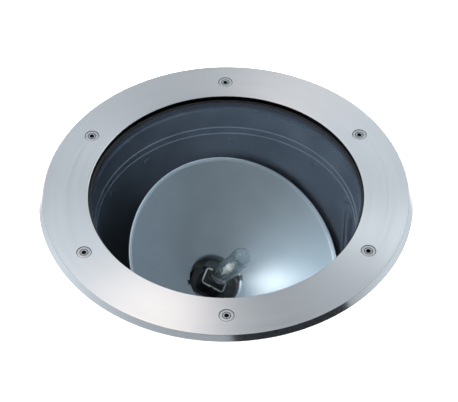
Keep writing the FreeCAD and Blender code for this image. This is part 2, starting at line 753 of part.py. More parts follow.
def make_floor_pillars(pot):
    """Pillars for the shelf, bosses for the gear tray and the earth stud, and their holes."""
    pillar_x, pillar_y = polar("pillar_circle", "pillar_bearing")
    pillar = pot.pad(disc(pot.sketch(lift="floor_top - 1"), "pillar_radius", pillar_x, pillar_y),
                     "shelf_top - shelf_thickness - floor_top + 1")
    pot.around([pillar], "3")
    tapping = disc(pot.sketch(lift="shelf_top - shelf_thickness"), "shelf_screw", pillar_x, pillar_y)
    pot.around([pot.pocket(tapping, "pillar_tapping")], "3")
    tray_seat = "tray_top - tray_sheet"
    for spot in tray_spots():
        pot.pad(disc(pot.sketch(lift="floor_top - 1"), "tray_boss", *spot), tray_seat + " - floor_top + 1")
        pot.pocket(disc(pot.sketch(lift=tray_seat), "small_screw", *spot), "8")
    stud = ("stud_x", "stud_y")
    pot.pad(disc(pot.sketch(lift="floor_top - 1"), "stud_boss", *stud), "stud_boss_height + 1")
    pot.pocket(disc(pot.sketch(lift="floor_top + stud_boss_height"), "stud_radius", *stud), "7")


def tray_spots():
    """Where the four screws of the gear tray stand, as expressions."""
    corners = ((-1, -1), (-1, 1), (1, -1), (1, 1))
    return [("%d*(tray_length/2 - tray_inset_x)" % x, "%d*(tray_depth/2 - tray_inset_y)" % y)
            for x, y in corners]


def make_gland_bosses(pot):
    """A flat boss each side for a cable gland, with its hole and an inner flat."""
    for side in (-1, 1):
        lift = "%d*gland_face" % side
        inward = side > 0
        boss = disc(pot.sketch("YZ_Plane", lift=lift), "gland_boss", "0", "gland_height")
        pot.pad(boss, "gland_face - wall_foot - 2.6", backwards=inward)
        flat_face = pot.sketch("YZ_Plane", lift="%d*gland_flat" % side)
        flat = disc(flat_face, "gland_boss - 0.5", "0", "gland_height")
        pot.pocket(flat, "6", backwards=not inward)
        hole = disc(pot.sketch("YZ_Plane", lift=lift), "gland_thread", "0", "gland_height")
        pot.pocket(hole, "20", backwards=not inward)


# ---------------------------------------------------------------- glands


def make_glands():
    """An M20 gland each side: body, locknut, seal and dome nut; the left one is plugged."""
    for side, name in ((1, "right"), (-1, "left")):
        facing = Placement(Vector(0, 0, value("gland_height")),
                           Rotation(Vector(0, 1, 0), 90.0 * side))
        make_gland_body("gland_body_" + name, facing)
        locknut = Piece("gland_locknut_" + name, facing)
        ring = hexagon(locknut.sketch(lift="gland_flat - locknut_thickness"), "gland_hex + 2")
        locknut.pad(disc(ring, "gland_thread"), "locknut_thickness")
        seal = Piece("gland_seal_" + name, facing)
        sleeve = disc(seal.sketch(lift="gland_face + gland_flange"), "seal_radius")
        seal.pad(disc(sleeve, "cable_bore"), "seal_length")
        dome = Piece("gland_nut_" + name, facing)
        seal_end = "gland_face + gland_flange + seal_length"
        dome.revolve(outline(dome.sketch("XZ_Plane"), (
            ("dome_bore", "gland_face + dome_lift"),
            ("gland_hex/2 + 0.6", "gland_face + dome_lift"),
            ("gland_hex/2 + 0.6", "gland_face + dome_end - 3.2"),
            ("gland_hex/2 - 1", "gland_face + dome_end - 1"),
            ("gland_hex/2 - 4", "gland_face + dome_end"),
            ("dome_mouth", "gland_face + dome_end"),
            ("dome_mouth", seal_end),
            ("dome_bore", seal_end),
        )))
        grips = outline(dome.sketch(lift="gland_face + dome_lift"), (
            ("gland_hex/2", "-3"),
            ("gland_hex/2 + 1.8", "-2"),
            ("gland_hex/2 + 1.8", "2"),
            ("gland_hex/2", "3"),
        ))
        dome.around([dome.pad(grips, "9")], "6")
    to_the_left = Placement(Vector(0, 0, value("gland_height")), Rotation(Vector(0, 1, 0), -90.0))
    plug = Piece("gland_plug", to_the_left)
    plug.revolve(outline(plug.sketch("XZ_Plane"), (
        ("0", "gland_face + gland_flange - 1"),
        ("cable_bore", "gland_face + gland_flange - 1"),
        ("cable_bore", "gland_face + dome_end"),
        ("cable_bore + 2.5", "gland_face + dome_end"),
        ("cable_bore + 1.5", "gland_face + dome_end + 2"),
        ("0", "gland_face + dome_end + 2"),
    )))


def make_gland_body(label, facing):
    """Threaded stem through the pot's wall, hexagon outside, collar that holds the seal."""
    gland = Piece(label, facing)
    gland.revolve(outline(gland.sketch("XZ_Plane"), (
        ("gland_bore", "gland_flat - locknut_thickness - 4"),
        ("gland_thread", "gland_flat - locknut_thickness - 4"),
        ("gland_thread", "gland_face"),
        ("gland_hex/2", "gland_face"),
        ("gland_hex/2", "gland_face + gland_flange"),
        ("gland_collar", "gland_face + gland_flange"),
        ("gland_collar", "gland_face + gland_flange + gland_collar_length"),
        ("seal_radius", "gland_face + gland_flange + gland_collar_length"),
        ("seal_radius", "gland_face + gland_flange"),
        ("gland_bore", "gland_face + gland_flange"),
    )))
    corners = disc(hexagon(gland.sketch(lift="gland_face"), "gland_hex"), "gland_hex/2 - 1")
    gland.pad(corners, "gland_flange")


# ---------------------------------------------------------------- shelf and pan bearing


def make_shelf():
    """Sheet that parts the optic from the gear: pan hole, wire hole, rib cut-outs."""
    shelf = Piece("shelf")
    plate = disc(disc(shelf.sketch(lift="shelf_top - shelf_thickness"), "shelf_radius"),
                 "pan_bolt_radius + running_gap")
    shelf.pad(plate, "shelf_thickness")
    shelf.pocket(disc(shelf.sketch(lift="shelf_top"), "wire_hole", "wire_hole_x", "wire_hole_y"))
    hole_x, hole_y = polar("pillar_circle", "pillar_bearing")
    screw_hole = shelf.pocket(disc(shelf.sketch(lift="shelf_top"), "shelf_screw_hole", hole_x, hole_y))
    shelf.around([screw_hole], "3")
    screws = Piece("shelf_screws")
    profile = outline(screws.sketch("XZ_Plane", across="pillar_circle"), (
        ("0", "shelf_top - shelf_thickness - shelf_screw_reach"),
        ("shelf_screw", "shelf_top - shelf_thickness - shelf_screw_reach"),
        ("shelf_screw", "shelf_top"),
        ("shelf_screw_head", "shelf_top"),
        ("shelf_screw_head - 0.4", "shelf_top + shelf_screw_rise - 0.8"),
        ("shelf_screw_head - 2.2", "shelf_top + shelf_screw_rise"),
        ("0", "shelf_top + shelf_screw_rise"),
    ))
    shaft = screws.revolve(profile)
    slot = rectangle(screws.sketch(lift="shelf_top + shelf_screw_rise"), "4.4", "1", "pillar_circle")
    screws.around([shaft, screws.pocket(slot, "1.6")], "3")
    turn = Rotation(Vector(0, 0, 1), value("pillar_bearing"))
    screws.body.Placement = Placement(Vector(0, 0, 0), turn)


def make_pan_bearing():
    """Bolt through the shelf, friction washer under the yoke, and its nut."""
    bolt = Piece("pan_bolt")
    head = hexagon(bolt.sketch(lift="shelf_top - shelf_thickness - bearing_head"), "bearing_flats")
    bolt.pad(head, "bearing_head")
    bolt.pad(disc(bolt.sketch(lift="shelf_top - shelf_thickness"), "pan_bolt_radius"),
             "shelf_thickness + pan_washer_thickness + yoke_sheet + 6.6")
    washer = Piece("pan_washer")
    ring = disc(disc(washer.sketch(lift="shelf_top"), "pan_washer_radius"), "pan_bolt_radius")
    washer.pad(ring, "pan_washer_thickness")
    nut = Piece("pan_nut")
    lift = "shelf_top + pan_washer_thickness + yoke_sheet + 2*face_gap"
    nut.pad(disc(hexagon(nut.sketch(lift=lift), "bearing_flats"), "pan_bolt_radius"), "bearing_nut")


def make_yoke():
    """Steel strip with a round middle and two upright arms with rounded ends."""
    yoke = Piece("yoke", yoke_frame())
    lift = "shelf_top + pan_washer_thickness + face_gap"
    strip = rectangle(yoke.sketch(lift=lift), "2*yoke_half_width", "2*(arm_inner + yoke_sheet)")
    yoke.pad(strip, "yoke_sheet")
    yoke.pad(disc(yoke.sketch(lift=lift), "yoke_hub"), "yoke_sheet")
    yoke.pocket(disc(yoke.sketch(lift=lift + " + yoke_sheet"), "pan_bolt_radius + running_gap"))
    lock_hole = disc(yoke.sketch(lift=lift + " + yoke_sheet"), "lock_screw + running_gap", "0", "lock_offset")
    yoke.pocket(lock_hole)
    arm = outline(yoke.sketch("XZ_Plane", lift="-arm_inner"), (
        ("-yoke_half_width", lift),
        ("yoke_half_width", lift),
        ("yoke_half_width", "pivot_height - arm_taper"),
        ("arm_end_radius", "pivot_height"),
        ("-arm_end_radius", "pivot_height"),
        ("-yoke_half_width", "pivot_height - arm_taper"),
    ))
    side = yoke.pad(arm, "yoke_sheet", backwards=True)
    round_end = disc(yoke.sketch("XZ_Plane", lift="-arm_inner"), "arm_end_radius", "0", "pivot_height")
    end = yoke.pad(round_end, "yoke_sheet", backwards=True)
    yoke.mirror([side, end], "XZ_Plane")
    pivot = disc(yoke.sketch("XZ_Plane"), "tilt_bolt_radius + running_gap", "0", "pivot_height")
    yoke.pocket(pivot, "2*(arm_inner + yoke_sheet + 5)", centred=True)
    screw = Piece("pan_lock_screw", yoke_frame())
    screw.revolve(outline(screw.sketch("XZ_Plane"), (
        ("0", "shelf_top + lock_tip_gap"),
        ("lock_screw", "shelf_top + lock_tip_gap"),
        ("lock_screw", lift + " + yoke_sheet"),
        ("lock_head", lift + " + yoke_sheet"),
        ("lock_head", lift + " + yoke_sheet + lock_head_rise - 1"),
        ("lock_head - 0.7", lift + " + yoke_sheet + lock_head_rise"),
        ("0", lift + " + yoke_sheet + lock_head_rise"),
    )))
    screw.body.Placement = yoke_frame().multiply(Placement(Vector(0, value("lock_offset"), 0), Rotation()))


# ---------------------------------------------------------------- optic


def parabola(start, end, drop):
    """Edge of the parabola between two radii; a quadratic curve gives it exactly."""
    focal, vertex = value("focal_length"), value("bowl_vertex") - drop
    heights = [radius ** 2 / (4 * focal) + vertex for radius in (start, end)]
    middle = (start + end) / 2
    crossing = heights[0] + start / (2 * focal) * (middle - start)
    curve = Part.BezierCurve()
    curve.setPoles([Vector(start, 0, heights[0]), Vector(middle, 0, crossing), Vector(end, 0, heights[1])])
    return curve.toShape()


def chain(points):
    """Straight edges through points given as radius and height."""
    corners = [Vector(radius, 0, height) for radius, height in points]
    return [Part.LineSegment(a, b).toShape() for a, b in zip(corners, corners[1:])]


def spin(edges):
    """Turn a closed profile round the local Z axis into a solid."""
    wire = Part.Wire(Part.__sortEdges__(edges))
    return Part.Face(wire).revolve(Vector(0, 0, 0), Vector(0, 0, 1), WHOLE_TURN)


def height_at(radius, drop):
    return radius ** 2 / (4 * value("focal_length")) + value("bowl_vertex") - drop


def radius_at(height, drop):
    return math.sqrt((height - value("bowl_vertex") + drop) * 4 * value("focal_length"))


def make_reflector():
    """Spun aluminium bowl: parabola, turned lip with a folded edge, neck with a rolled edge."""
    wall, lip, rim = value("bowl_wall"), value("lip_thickness"), value("rim_height")
    rim_radius, neck = value("rim_radius"), value("neck_radius")
    neck_outer = neck + value("neck_wall")
    inner_end = radius_at(rim, 0)
    outer_end = radius_at(rim - lip, wall)
    neck_foot, roll = value("neck_foot"), value("neck_roll")
    fold = rim - value("lip_turn_down")
    edges = [parabola(neck, inner_end, 0)]
    edges += chain(((inner_end, rim), (rim_radius, rim), (rim_radius, fold), (rim_radius - lip, fold),
                    (rim_radius - lip, rim - lip), (outer_end, rim - lip)))
    edges.append(parabola(neck_outer, outer_end, wall))
    edges += chain(((neck_outer, height_at(neck_outer, wall)), (neck_outer, neck_foot + 1.2),
                    (roll, neck_foot + 1.2), (roll, neck_foot), (neck, neck_foot),
                    (neck, height_at(neck, 0))))
    bowl = spin(edges)
    reach, width = value("notch_reach"), value("notch_width")
    notch = Part.makeBox(2 * reach, width, 16.0, Vector(-reach, -width / 2, value("neck_foot") + 4.0))
    notch.rotate(Vector(0, 0, 0), Vector(0, 0, 1), value("notch_bearing"))
    free_piece("reflector", bowl.cut(notch), optic_frame())


def bowl_outside():
    """Everything inside the outer face of the bowl, for seating what touches it."""
    wall = value("bowl_wall")
    top = radius_at(value("rim_height"), wall)
    edges = [parabola(0.0, top, wall)]
    edges += chain(((top, value("rim_height")), (0.0, value("rim_height")), (0.0, height_at(0.0, wall))))
    return spin(edges)


def make_collar():
    """Cast ring behind the bowl, its top face seated on the bowl, its foot flat."""
    foot, outer = value("collar_foot"), value("collar_radius")
    inner = value("neck_radius") + value("neck_wall")
    height = height_at(outer, value("bowl_wall")) - foot + 1.0
    ring = Part.makeCylinder(outer, height, Vector(0, 0, foot))
    ring = ring.cut(Part.makeCylinder(inner, height, Vector(0, 0, foot)))
    ring = ring.cut(bowl_outside())
    roll_room = value("neck_foot") + 1.2 - foot
    ring = ring.cut(Part.makeCylinder(value("neck_roll") + 0.2, roll_room, Vector(0, 0, foot)))
    for side in (-1, 1):
        spot = Vector(0, side * value("bracket_screw_circle"), foot)
        spot = Rotation(Vector(0, 0, 1), value("lamp_turn")).multVec(spot)
        ring = ring.cut(Part.makeCylinder(value("small_screw"), value("small_screw_reach") + 1.0, spot))
    free_piece("reflector_collar", ring, optic_frame())


def make_trunnion_pads():
    """Two cast pads seated on the bowl beside the tilt axis, drilled for the tilt bolts."""
    outside = bowl_outside()
    half, drop, face = value("pad_half_width"), value("pad_drop"), value("pad_face")
    rise, root = value("pad_rise"), value("pad_root")
    pads = []
    for side in (-1, 1):
        low_y = root if side > 0 else -face
        block = Part.makeBox(2 * half, face - root, drop + rise, Vector(-half, low_y, -drop))
        block = block.cut(outside)
        hole_length = face - value("tilt_bolt_end")
        start = Vector(0, side * face, 0)
        hole = Part.makeCylinder(value("tilt_bolt_radius"), hole_length, start, Vector(0, -side, 0))
        pads.append(block.cut(hole))
    free_piece("trunnion_pads", Part.makeCompound(pads), optic_frame())


def make_tilt_bolts():
    """Bolts that carry the bowl in the yoke arms, and the washers between."""
    bolts = Piece("tilt_bolts", optic_frame())
    outer = "arm_inner + yoke_sheet + face_gap"
    shank = bolts.pad(disc(bolts.sketch("XZ_Plane", lift="-tilt_bolt_end"), "tilt_bolt_radius"),
                      outer + " - tilt_bolt_end", backwards=True)
    head = bolts.pad(disc(bolts.sketch("XZ_Plane", lift="-(%s)" % outer), "tilt_bolt_head"),
                     "tilt_head_rise", backwards=True)
    socket = hexagon(bolts.sketch("XZ_Plane", lift="-(%s + tilt_head_rise)" % outer), "hex_key")
    key = bolts.pocket(socket, "key_depth", backwards=True)
    bolts.mirror([shank, head, key], "XZ_Plane")
    washers = Piece("tilt_washers", optic_frame())
    ring = disc(disc(washers.sketch("XZ_Plane", lift="-pad_face"), "tilt_washer"), "tilt_bolt_radius")
    washers.mirror([washers.pad(ring, "arm_inner - pad_face - face_gap", backwards=True)], "XZ_Plane")


def make_lampholder_bracket():
    """Steel channel: feet screwed to the collar, legs, and a floor under the lampholder."""
    bracket = Piece("lampholder_bracket", lamp_frame())
    leg, sheet = "holder_width/2 + 3", "bracket_sheet"
    foot_top, floor = "collar_foot", "holder_foot"
    bracket.pad(outline(bracket.sketch("YZ_Plane"), (
        ("-(%s)" % leg, floor + " - " + sheet),
        (leg, floor + " - " + sheet),
        (leg, foot_top + " - " + sheet),
        ("bracket_reach", foot_top + " - " + sheet),
        ("bracket_reach", foot_top),
        (leg + " - " + sheet, foot_top),
        (leg + " - " + sheet, floor),
        ("-(%s) + %s" % (leg, sheet), floor),
        ("-(%s) + %s" % (leg, sheet), foot_top),
        ("-bracket_reach", foot_top),
        ("-bracket_reach", foot_top + " - " + sheet),
        ("-(%s)" % leg, foot_top + " - " + sheet),
    )), "bracket_width", centred=True)
    foot_hole = disc(bracket.sketch(lift=foot_top), "small_screw_hole", "0", "bracket_screw_circle")
    hole = bracket.pocket(foot_hole, "4")
    bracket.mirror([hole], "XZ_Plane")
    fixing = disc(bracket.sketch(lift=floor), "small_screw_hole", "holder_length/2 - holder_inset", "0")
    bracket.mirror([bracket.pocket(fixing, "4")], "YZ_Plane")
    screws = Piece("bracket_screws", lamp_frame())
    profile = outline(screws.sketch("YZ_Plane", across="bracket_screw_circle"), (
        ("0", foot_top + " - bracket_sheet - 2.8"),
        ("2.6", foot_top + " - bracket_sheet - 2.8"),
        ("3.6", foot_top + " - bracket_sheet - 1.6"),
        ("3.6", foot_top + " - bracket_sheet"),
        ("small_screw", foot_top + " - bracket_sheet"),
        ("small_screw", foot_top + " + small_screw_reach"),
        ("0", foot_top + " + small_screw_reach"),
    ))
    screws.mirror([screws.revolve(profile)], "XZ_Plane")


def make_lampholder():
    """Ceramic block with two contact holes, side terminals and two fixing screws."""
    holder = Piece("lampholder", lamp_frame())
    block = rectangle(holder.sketch(lift="holder_foot"), "holder_length", "holder_width")
    holder.pad(block, "holder_top - holder_foot")
    holder.dress("Fillet", "5", upright)
    contact = disc(holder.sketch(lift="holder_top"), "pin_hole", "pin_pitch/2", "0")
    holder.mirror([holder.pocket(contact, "15")], "YZ_Plane")
    fixing = disc(holder.sketch(lift="holder_foot"), "small_screw", "holder_length/2 - holder_inset", "0")
    holder.mirror([holder.pocket(fixing, "small_screw_reach + 0.5", backwards=True)], "YZ_Plane")
    slot = rectangle(holder.sketch("YZ_Plane", lift="holder_length/2"), "14", "5", "0", "holder_foot + 10")
    holder.mirror([holder.pocket(slot, "4")], "YZ_Plane")
    screws = Piece("lampholder_screws", lamp_frame())
    base = "holder_foot - bracket_sheet"
    profile = outline(screws.sketch("XZ_Plane", across="holder_length/2 - holder_inset"), (
        ("0", base + " - 2.6"),
        ("2.6", base + " - 2.6"),
        ("3.5", base + " - 1.5"),
        ("3.5", base),
        ("small_screw", base),
        ("small_screw", "holder_foot + small_screw_reach"),
        ("0", "holder_foot + small_screw_reach"),
    ))
    screws.mirror([screws.revolve(profile)], "YZ_Plane")


# ---------------------------------------------------------------- lamp


def capsule_profile(radius, foot, shoulder, tip, neck):
    """Half outline of a domed tube: flat foot, slanted shoulder, straight side, round tip."""
    centre = tip - radius
    side = chain(((0.0, tip - radius), (0.0, foot), (neck, foot), (radius, shoulder), (radius, centre)))
    rise = radius * math.sqrt(0.5)
    dome = Part.Arc(Vector(radius, 0, centre), Vector(rise, 0, centre + rise), Vector(0, 0, tip)).toShape()
    return side + [dome] + chain(((0.0, tip), (0.0, tip - radius)))


def make_lamp():
    """Single-ended lamp: quartz envelope on a pinch, ceramic base, two pins."""
    radius, wall, tip = value("lamp_radius"), value("lamp_wall"), value("lamp_tip")
    outer = spin(capsule_profile(radius, -22.0, -15.0, tip, 6.0))
    hollow = spin(capsule_profile(radius - wall, -19.0, -13.5, tip - wall, 5.0))
    pinch = Part.makeBox(15.0, 4.4, 12.0, Vector(-7.5, -2.2, value("base_top") - 1.2))
    nib = Part.makeCone(1.8, 0.8, 1.4, Vector(0, 0, tip - 0.3))
    free_piece("lamp_envelope", outer.fuse([pinch, nib]).cut(hollow), lamp_frame())
    base = Piece("lamp_base", lamp_frame())
    block = rectangle(base.sketch(lift="base_foot"), "base_length", "base_width")
    base.pad(block, "base_top - base_foot")
    base.dress("Fillet", "4", upright)
    well = rectangle(base.sketch(lift="base_top"),
                     "base_length - 2*base_border", "base_width - 2*base_border")
    base.pocket(well, "1.2")
    key = outline(base.sketch(lift="base_top"), (
        ("-1.5", "-base_width/2 - 1"), ("1.5", "-base_width/2 - 1"),
        ("1.5", "-base_width/2 + 0.9"), ("-1.5", "-base_width/2 + 0.9"),
    ))
    base.pocket(key, "19")
    pins = Piece("lamp_pins", lamp_frame())
    pin = pins.pad(disc(pins.sketch(lift="pin_end"), "pin_radius", "pin_pitch/2", "0"), "base_foot - pin_end")
    pins.mirror([pin], "YZ_Plane")


def make_arc_tube():
    """Ceramic arc tube with a capillary at each end, and the wires that carry it."""
    centre, radius = value("arc_centre"), value("arc_radius")
    barrel = spin(chain(((0.0, centre - 6.5), (1.9, centre - 6.5), (radius, centre - 4.2),
                         (radius, centre + 4.2), (1.9, centre + 6.5), (0.0, centre + 6.5),
                         (0.0, centre - 6.5))))
    stems = Part.makeCylinder(1.1, 29.0, Vector(0, 0, centre - 14.5))
    free_piece("arc_tube", barrel.fuse(stems), lamp_frame())
    wire, floor = 0.55, -19.0
    low, high = centre - 14.5, centre + 14.5
    start, side = 2.6, 6.6
    short_lead = rod(Vector(0, 0, floor), Vector(0, 0, low), wire)
    route = [Vector(start, 0, floor), Vector(start, 0, floor + 1.5), Vector(side, 0, floor + 7.0),
             Vector(side, 0, high + 4.0), Vector(0, 0, high + 9.0), Vector(0, 0, high)]
    runs = [rod(a, b, wire) for a, b in zip(route, route[1:])]
    bends = [Part.makeSphere(wire, corner) for corner in route[1:-1]]
    long_lead = runs[0].fuse(runs[1:] + bends)
    free_piece("lamp_leads", Part.makeCompound([short_lead, long_lead]), lamp_frame())


def rod(start, end, radius):
    """Straight round rod between two points."""
    return Part.makeCylinder(radius, start.distanceToPoint(end), start, end.sub(start))


# ---------------------------------------------------------------- control gear


def make_gear_tray():
    """Folded steel tray on four floor bosses, with its screws."""
    tray = Piece("gear_tray")
    foot = "tray_top - tray_sheet"
    tray.pad(rectangle(tray.sketch(lift=foot), "tray_length", "tray_depth"), "tray_sheet")
    for spot in tray_spots():
        tray.pocket(disc(tray.sketch(lift="tray_top"), "tray_screw_hole", *spot), "3")
    stud_hole = disc(tray.sketch(lift="tray_top"), "ignitor_stud + 0.1", "ignitor_x", "ignitor_y")
    tray.pocket(stud_hole, "3")
    edge = rectangle(tray.sketch(lift=foot), "tray_length - 30", "tray_sheet",
                     "0", "(tray_depth - tray_sheet)/2")
    tray.mirror([tray.pad(edge, "tray_edge")], "XZ_Plane")
    screws = Piece("tray_screws")
    for spot in tray_spots():
        screws.pad(disc(screws.sketch(lift=foot + " - 7"), "small_screw", *spot), "tray_sheet + 7")
        screws.pad(disc(screws.sketch(lift="tray_top"), "3.8", *spot), "2.6")


def make_ballast():
    """Laminated iron with a coil through its window, bolted to the tray."""
    core = Piece("ballast_core")
    core.pad(rectangle(core.sketch(lift="tray_top"), "core_length", "core_depth", "ballast_x", "ballast_y"),
             "core_height")
    coil_size = ("coil_width", "coil_height", "ballast_y", "tray_top + core_height/2")
    core.pocket(rectangle(core.sketch("YZ_Plane"), *coil_size), "2*coil_length", centred=True)
    foot_length = "core_length + 2*ballast_foot_reach"
    foot = rectangle(core.sketch(lift="tray_top"), foot_length, "14", "ballast_x", "ballast_y")
    core.pad(foot, "ballast_foot")
    spots = [("ballast_x + %d*(core_length/2 + 7)" % side, "ballast_y") for side in (-1, 1)]
    for spot in spots:
        core.pocket(disc(core.sketch(lift="tray_top + ballast_foot"), "ballast_bolt", *spot), "ballast_foot")
    coil = Piece("ballast_coil")
    block = rectangle(coil.sketch("YZ_Plane"), *coil_size)
    coil.pad(block, "coil_length", centred=True)
    coil.dress("Fillet", "3", lambda edge: not upright(edge) and edge.Length > value("coil_length") / 2)
    coil.body.Placement = Placement(Vector(value("ballast_x"), 0, 0), Rotation())
    bolts = Piece("ballast_bolts")
    for spot in spots:
        bolts.pad(disc(bolts.sketch(lift="tray_top"), "ballast_bolt", *spot), "ballast_foot")
        bolts.pad(hexagon(bolts.sketch(lift="tray_top + ballast_foot"), "7", *spot), "3.2")


def make_capacitor():
    """Aluminium can lying on the tray under a spring clip."""
    height = "tray_top + can_radius + can_lift"
    facing = Placement(Vector(value("can_x"), value("can_y"), value(height)), Rotation(Vector(0, 1, 0), 90.0))
    can = Piece("capacitor", facing)
    can.revolve(outline(can.sketch("XZ_Plane"), (
        ("0", "0"),
        ("can_radius - 1.5", "0"),
        ("can_radius", "1.5"),
        ("can_radius", "can_length - 1"),
        ("can_radius - 1", "can_length"),
        ("can_radius - 2.5", "can_length - 1.5"),
        ("0", "can_length - 1.5"),
    )))
    tags = rectangle(can.sketch(lift="can_length - 2"), "0.8", "6", "6", "0")
    can.mirror([can.pad(tags, "9")], "YZ_Plane")
    clip = Piece("capacitor_clip")
    clip.body.Placement = Placement(Vector(value("can_x + can_length/2"), value("can_y"), 0), Rotation())
    band = disc(clip.sketch("YZ_Plane"), "can_radius + clip_sheet", "0", height)
    clip.pad(disc(band, "can_radius", "0", height), "clip_width", centred=True)
    foot = ("8", "clip_sheet", "can_radius + 3*clip_sheet", "tray_top + clip_sheet/2")
    clip.pad(rectangle(clip.sketch("YZ_Plane"), *foot), "clip_width", centred=True)
    leg = ("clip_sheet", "can_radius", "can_radius + clip_sheet/2", "tray_top + can_radius/2")
    clip.pad(rectangle(clip.sketch("YZ_Plane"), *leg), "clip_width", centred=True)
    clip.pocket(rectangle(clip.sketch("YZ_Plane"), "60", "10", "0", "tray_top - 5"), "20", centred=True)


def make_ignitor():
    """Round can on a threaded stud through the tray, with its nut below."""
    spot = Placement(Vector(value("ignitor_x"), value("ignitor_y"), 0), Rotation())
    stud_end = "tray_top - tray_sheet - ignitor_nut - 0.1"
    can = Piece("ignitor", spot)
    can.revolve(outline(can.sketch("XZ_Plane"), (
        ("0", stud_end),
        ("ignitor_stud", stud_end),
        ("ignitor_stud", "tray_top"),
        ("ignitor_radius - 1", "tray_top"),
        ("ignitor_radius", "tray_top + 1"),
        ("ignitor_radius", "tray_top + ignitor_height - 1"),
        ("ignitor_radius - 1", "tray_top + ignitor_height"),
        ("0", "tray_top + ignitor_height"),
    )))
    posts = rectangle(can.sketch(lift="tray_top + ignitor_height - 1"), "4", "4", "9", "0")
    can.around([can.pad(posts, "6")], "3")
    nut = Piece("ignitor_nut", spot)
    ring = hexagon(nut.sketch(lift="tray_top - tray_sheet - ignitor_nut"), "13")
    nut.pad(disc(ring, "ignitor_stud"), "ignitor_nut")


def make_terminals():
    """Screw terminal block on the tray, and the earth stud and nut on the floor."""
    block = Piece("terminal_block")
    body = rectangle(block.sketch(lift="tray_top"), "block_depth", "block_length", "block_x", "block_y")
    block.pad(body, "block_height")
    top = "tray_top + block_height"
    for step in (-1, 0, 1):
        hole = ("block_x", "block_y + %d*block_pitch" % step)
        block.pocket(disc(block.sketch(lift=top), "2.6", *hole), "6")
    for step in (-1, 1):
        middle = "block_y + %d*block_pitch/2" % step
        groove = rectangle(block.sketch(lift=top), "block_depth + 2", "1.6", "block_x", middle)
        block.pocket(groove, "5")
    entry = disc(block.sketch("YZ_Plane", lift="block_x + block_depth/2"), "2.4", "block_y", "tray_top + 8")
    block.pocket(entry, "block_depth")
    spot = Placement(Vector(value("stud_x"), value("stud_y"), 0), Rotation())
    stud = Piece("earth_stud", spot)
    stud.pad(disc(stud.sketch(lift="floor_top - 3.5"), "stud_radius"), "18")
    nut = Piece("earth_nut", spot)
    nut.pad(disc(hexagon(nut.sketch(lift="floor_top + stud_boss_height"), "8"), "stud_radius"), "4")


def check_and_write():
    """Stop on any failed object or bad solid; otherwise write one file for each piece."""
    DOC.recompute()
    for item in DOC.Objects:
        if "Invalid" in item.State or "Error" in item.State:
            raise RuntimeError("failed object: %s %s" % (item.Name, item.State))
    os.makedirs("parts", exist_ok=True)
    for item in PARTS:
        shape = item.Shape
        if shape.isNull() or not shape.isValid() or not shape.Solids:
            raise RuntimeError("bad shape: " + item.Label)
        shape.exportStep(os.path.join("parts", item.Label + ".step"))
        print("%-22s %2d solid(s) %10.1f mm3" % (item.Label, len(shape.Solids), shape.Volume))


def main():
    make_trim_ring()
    make_trim_screws()
    make_glass()
    make_glass_gasket()
    make_housing()
    make_glands()
    make_shelf()
    make_pan_bearing()
    make_yoke()
    make_reflector()
    make_collar()
    make_trunnion_pads()
    make_tilt_bolts()
    make_lampholder_bracket()
    make_lampholder()
    make_lamp()
    make_arc_tube()
    make_gear_tray()
    make_ballast()
    make_capacitor()
    make_ignitor()
    make_terminals()
    check_and_write()


main()
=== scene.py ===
"""Looks of the recessed ground light: finishes, turned and formed details, studio and camera.

Everything is in metres in the part's own frame: +Z up, origin at the centre of the base. The
outlines of the turned pieces are in millimetres and are scaled as they are spun.
"""
import json
import logging
import math
from dataclasses import dataclass, field
from enum import Enum
from typing import Any, Callable, Iterable, Sequence

import bmesh
import bpy
from mathutils import Matrix, Vector


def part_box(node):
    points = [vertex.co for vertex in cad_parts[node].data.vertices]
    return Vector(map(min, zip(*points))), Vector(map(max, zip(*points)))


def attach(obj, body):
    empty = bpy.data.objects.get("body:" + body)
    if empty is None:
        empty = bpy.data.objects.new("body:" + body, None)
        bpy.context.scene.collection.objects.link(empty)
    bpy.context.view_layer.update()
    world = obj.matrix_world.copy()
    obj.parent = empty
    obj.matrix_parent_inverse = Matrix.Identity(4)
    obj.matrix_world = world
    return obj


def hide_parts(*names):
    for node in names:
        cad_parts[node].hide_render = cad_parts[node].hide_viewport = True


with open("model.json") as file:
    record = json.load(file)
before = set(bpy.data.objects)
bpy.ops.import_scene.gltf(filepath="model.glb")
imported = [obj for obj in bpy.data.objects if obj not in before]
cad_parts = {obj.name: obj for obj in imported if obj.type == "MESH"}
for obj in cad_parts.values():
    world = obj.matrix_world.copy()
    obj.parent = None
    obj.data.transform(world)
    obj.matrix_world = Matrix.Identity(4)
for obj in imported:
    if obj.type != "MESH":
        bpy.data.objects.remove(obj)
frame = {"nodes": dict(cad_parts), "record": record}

LOG = logging.getLogger("ground_light")
MM = 0.001
WHOLE_TURN = 2 * math.pi

Socket = bpy.types.NodeSocket
Colour = tuple[float, float, float, float]
Span = tuple[float, float]
Triple = tuple[float, float, float]
Profile = Sequence[tuple[float, float]]

TURNED = "turned"
"""Mesh attribute that holds a turned piece's coordinates about its own axis."""
SHARP = math.radians(35)
"""Edges of a turned piece that turn more than this stay crisp."""
HEAD_RADIUS = 6.4 * MM
"""From the middle of a cover screw to the far side of its head."""
GROUND_EDGE = 1.5 * MM
"""Width of the glass's ground edge."""
RING_BEVEL = 4.2 * MM
"""Width of the ring's outer bevel."""


class Body(Enum):
    """The bodies that dressed pieces ride on."""

    OPTIC = "optic"
    LAMP = "lamp"
    COVER = "cover"


def linear(code: str) -> Colour:
    """Turn an sRGB hex colour into linear values.

    Args:
        code: six hex digits, such as "8A97A2".

    Returns:
        Red, green, blue and a full alpha.
    """
    channels = [int(code[i:i + 2], 16) / 255 for i in (0, 2, 4)]
    bent = [c / 12.92 if c <= 0.04045 else ((c + 0.055) / 1.055) ** 2.4 for c in channels]
    return (bent[0], bent[1], bent[2], 1.0)


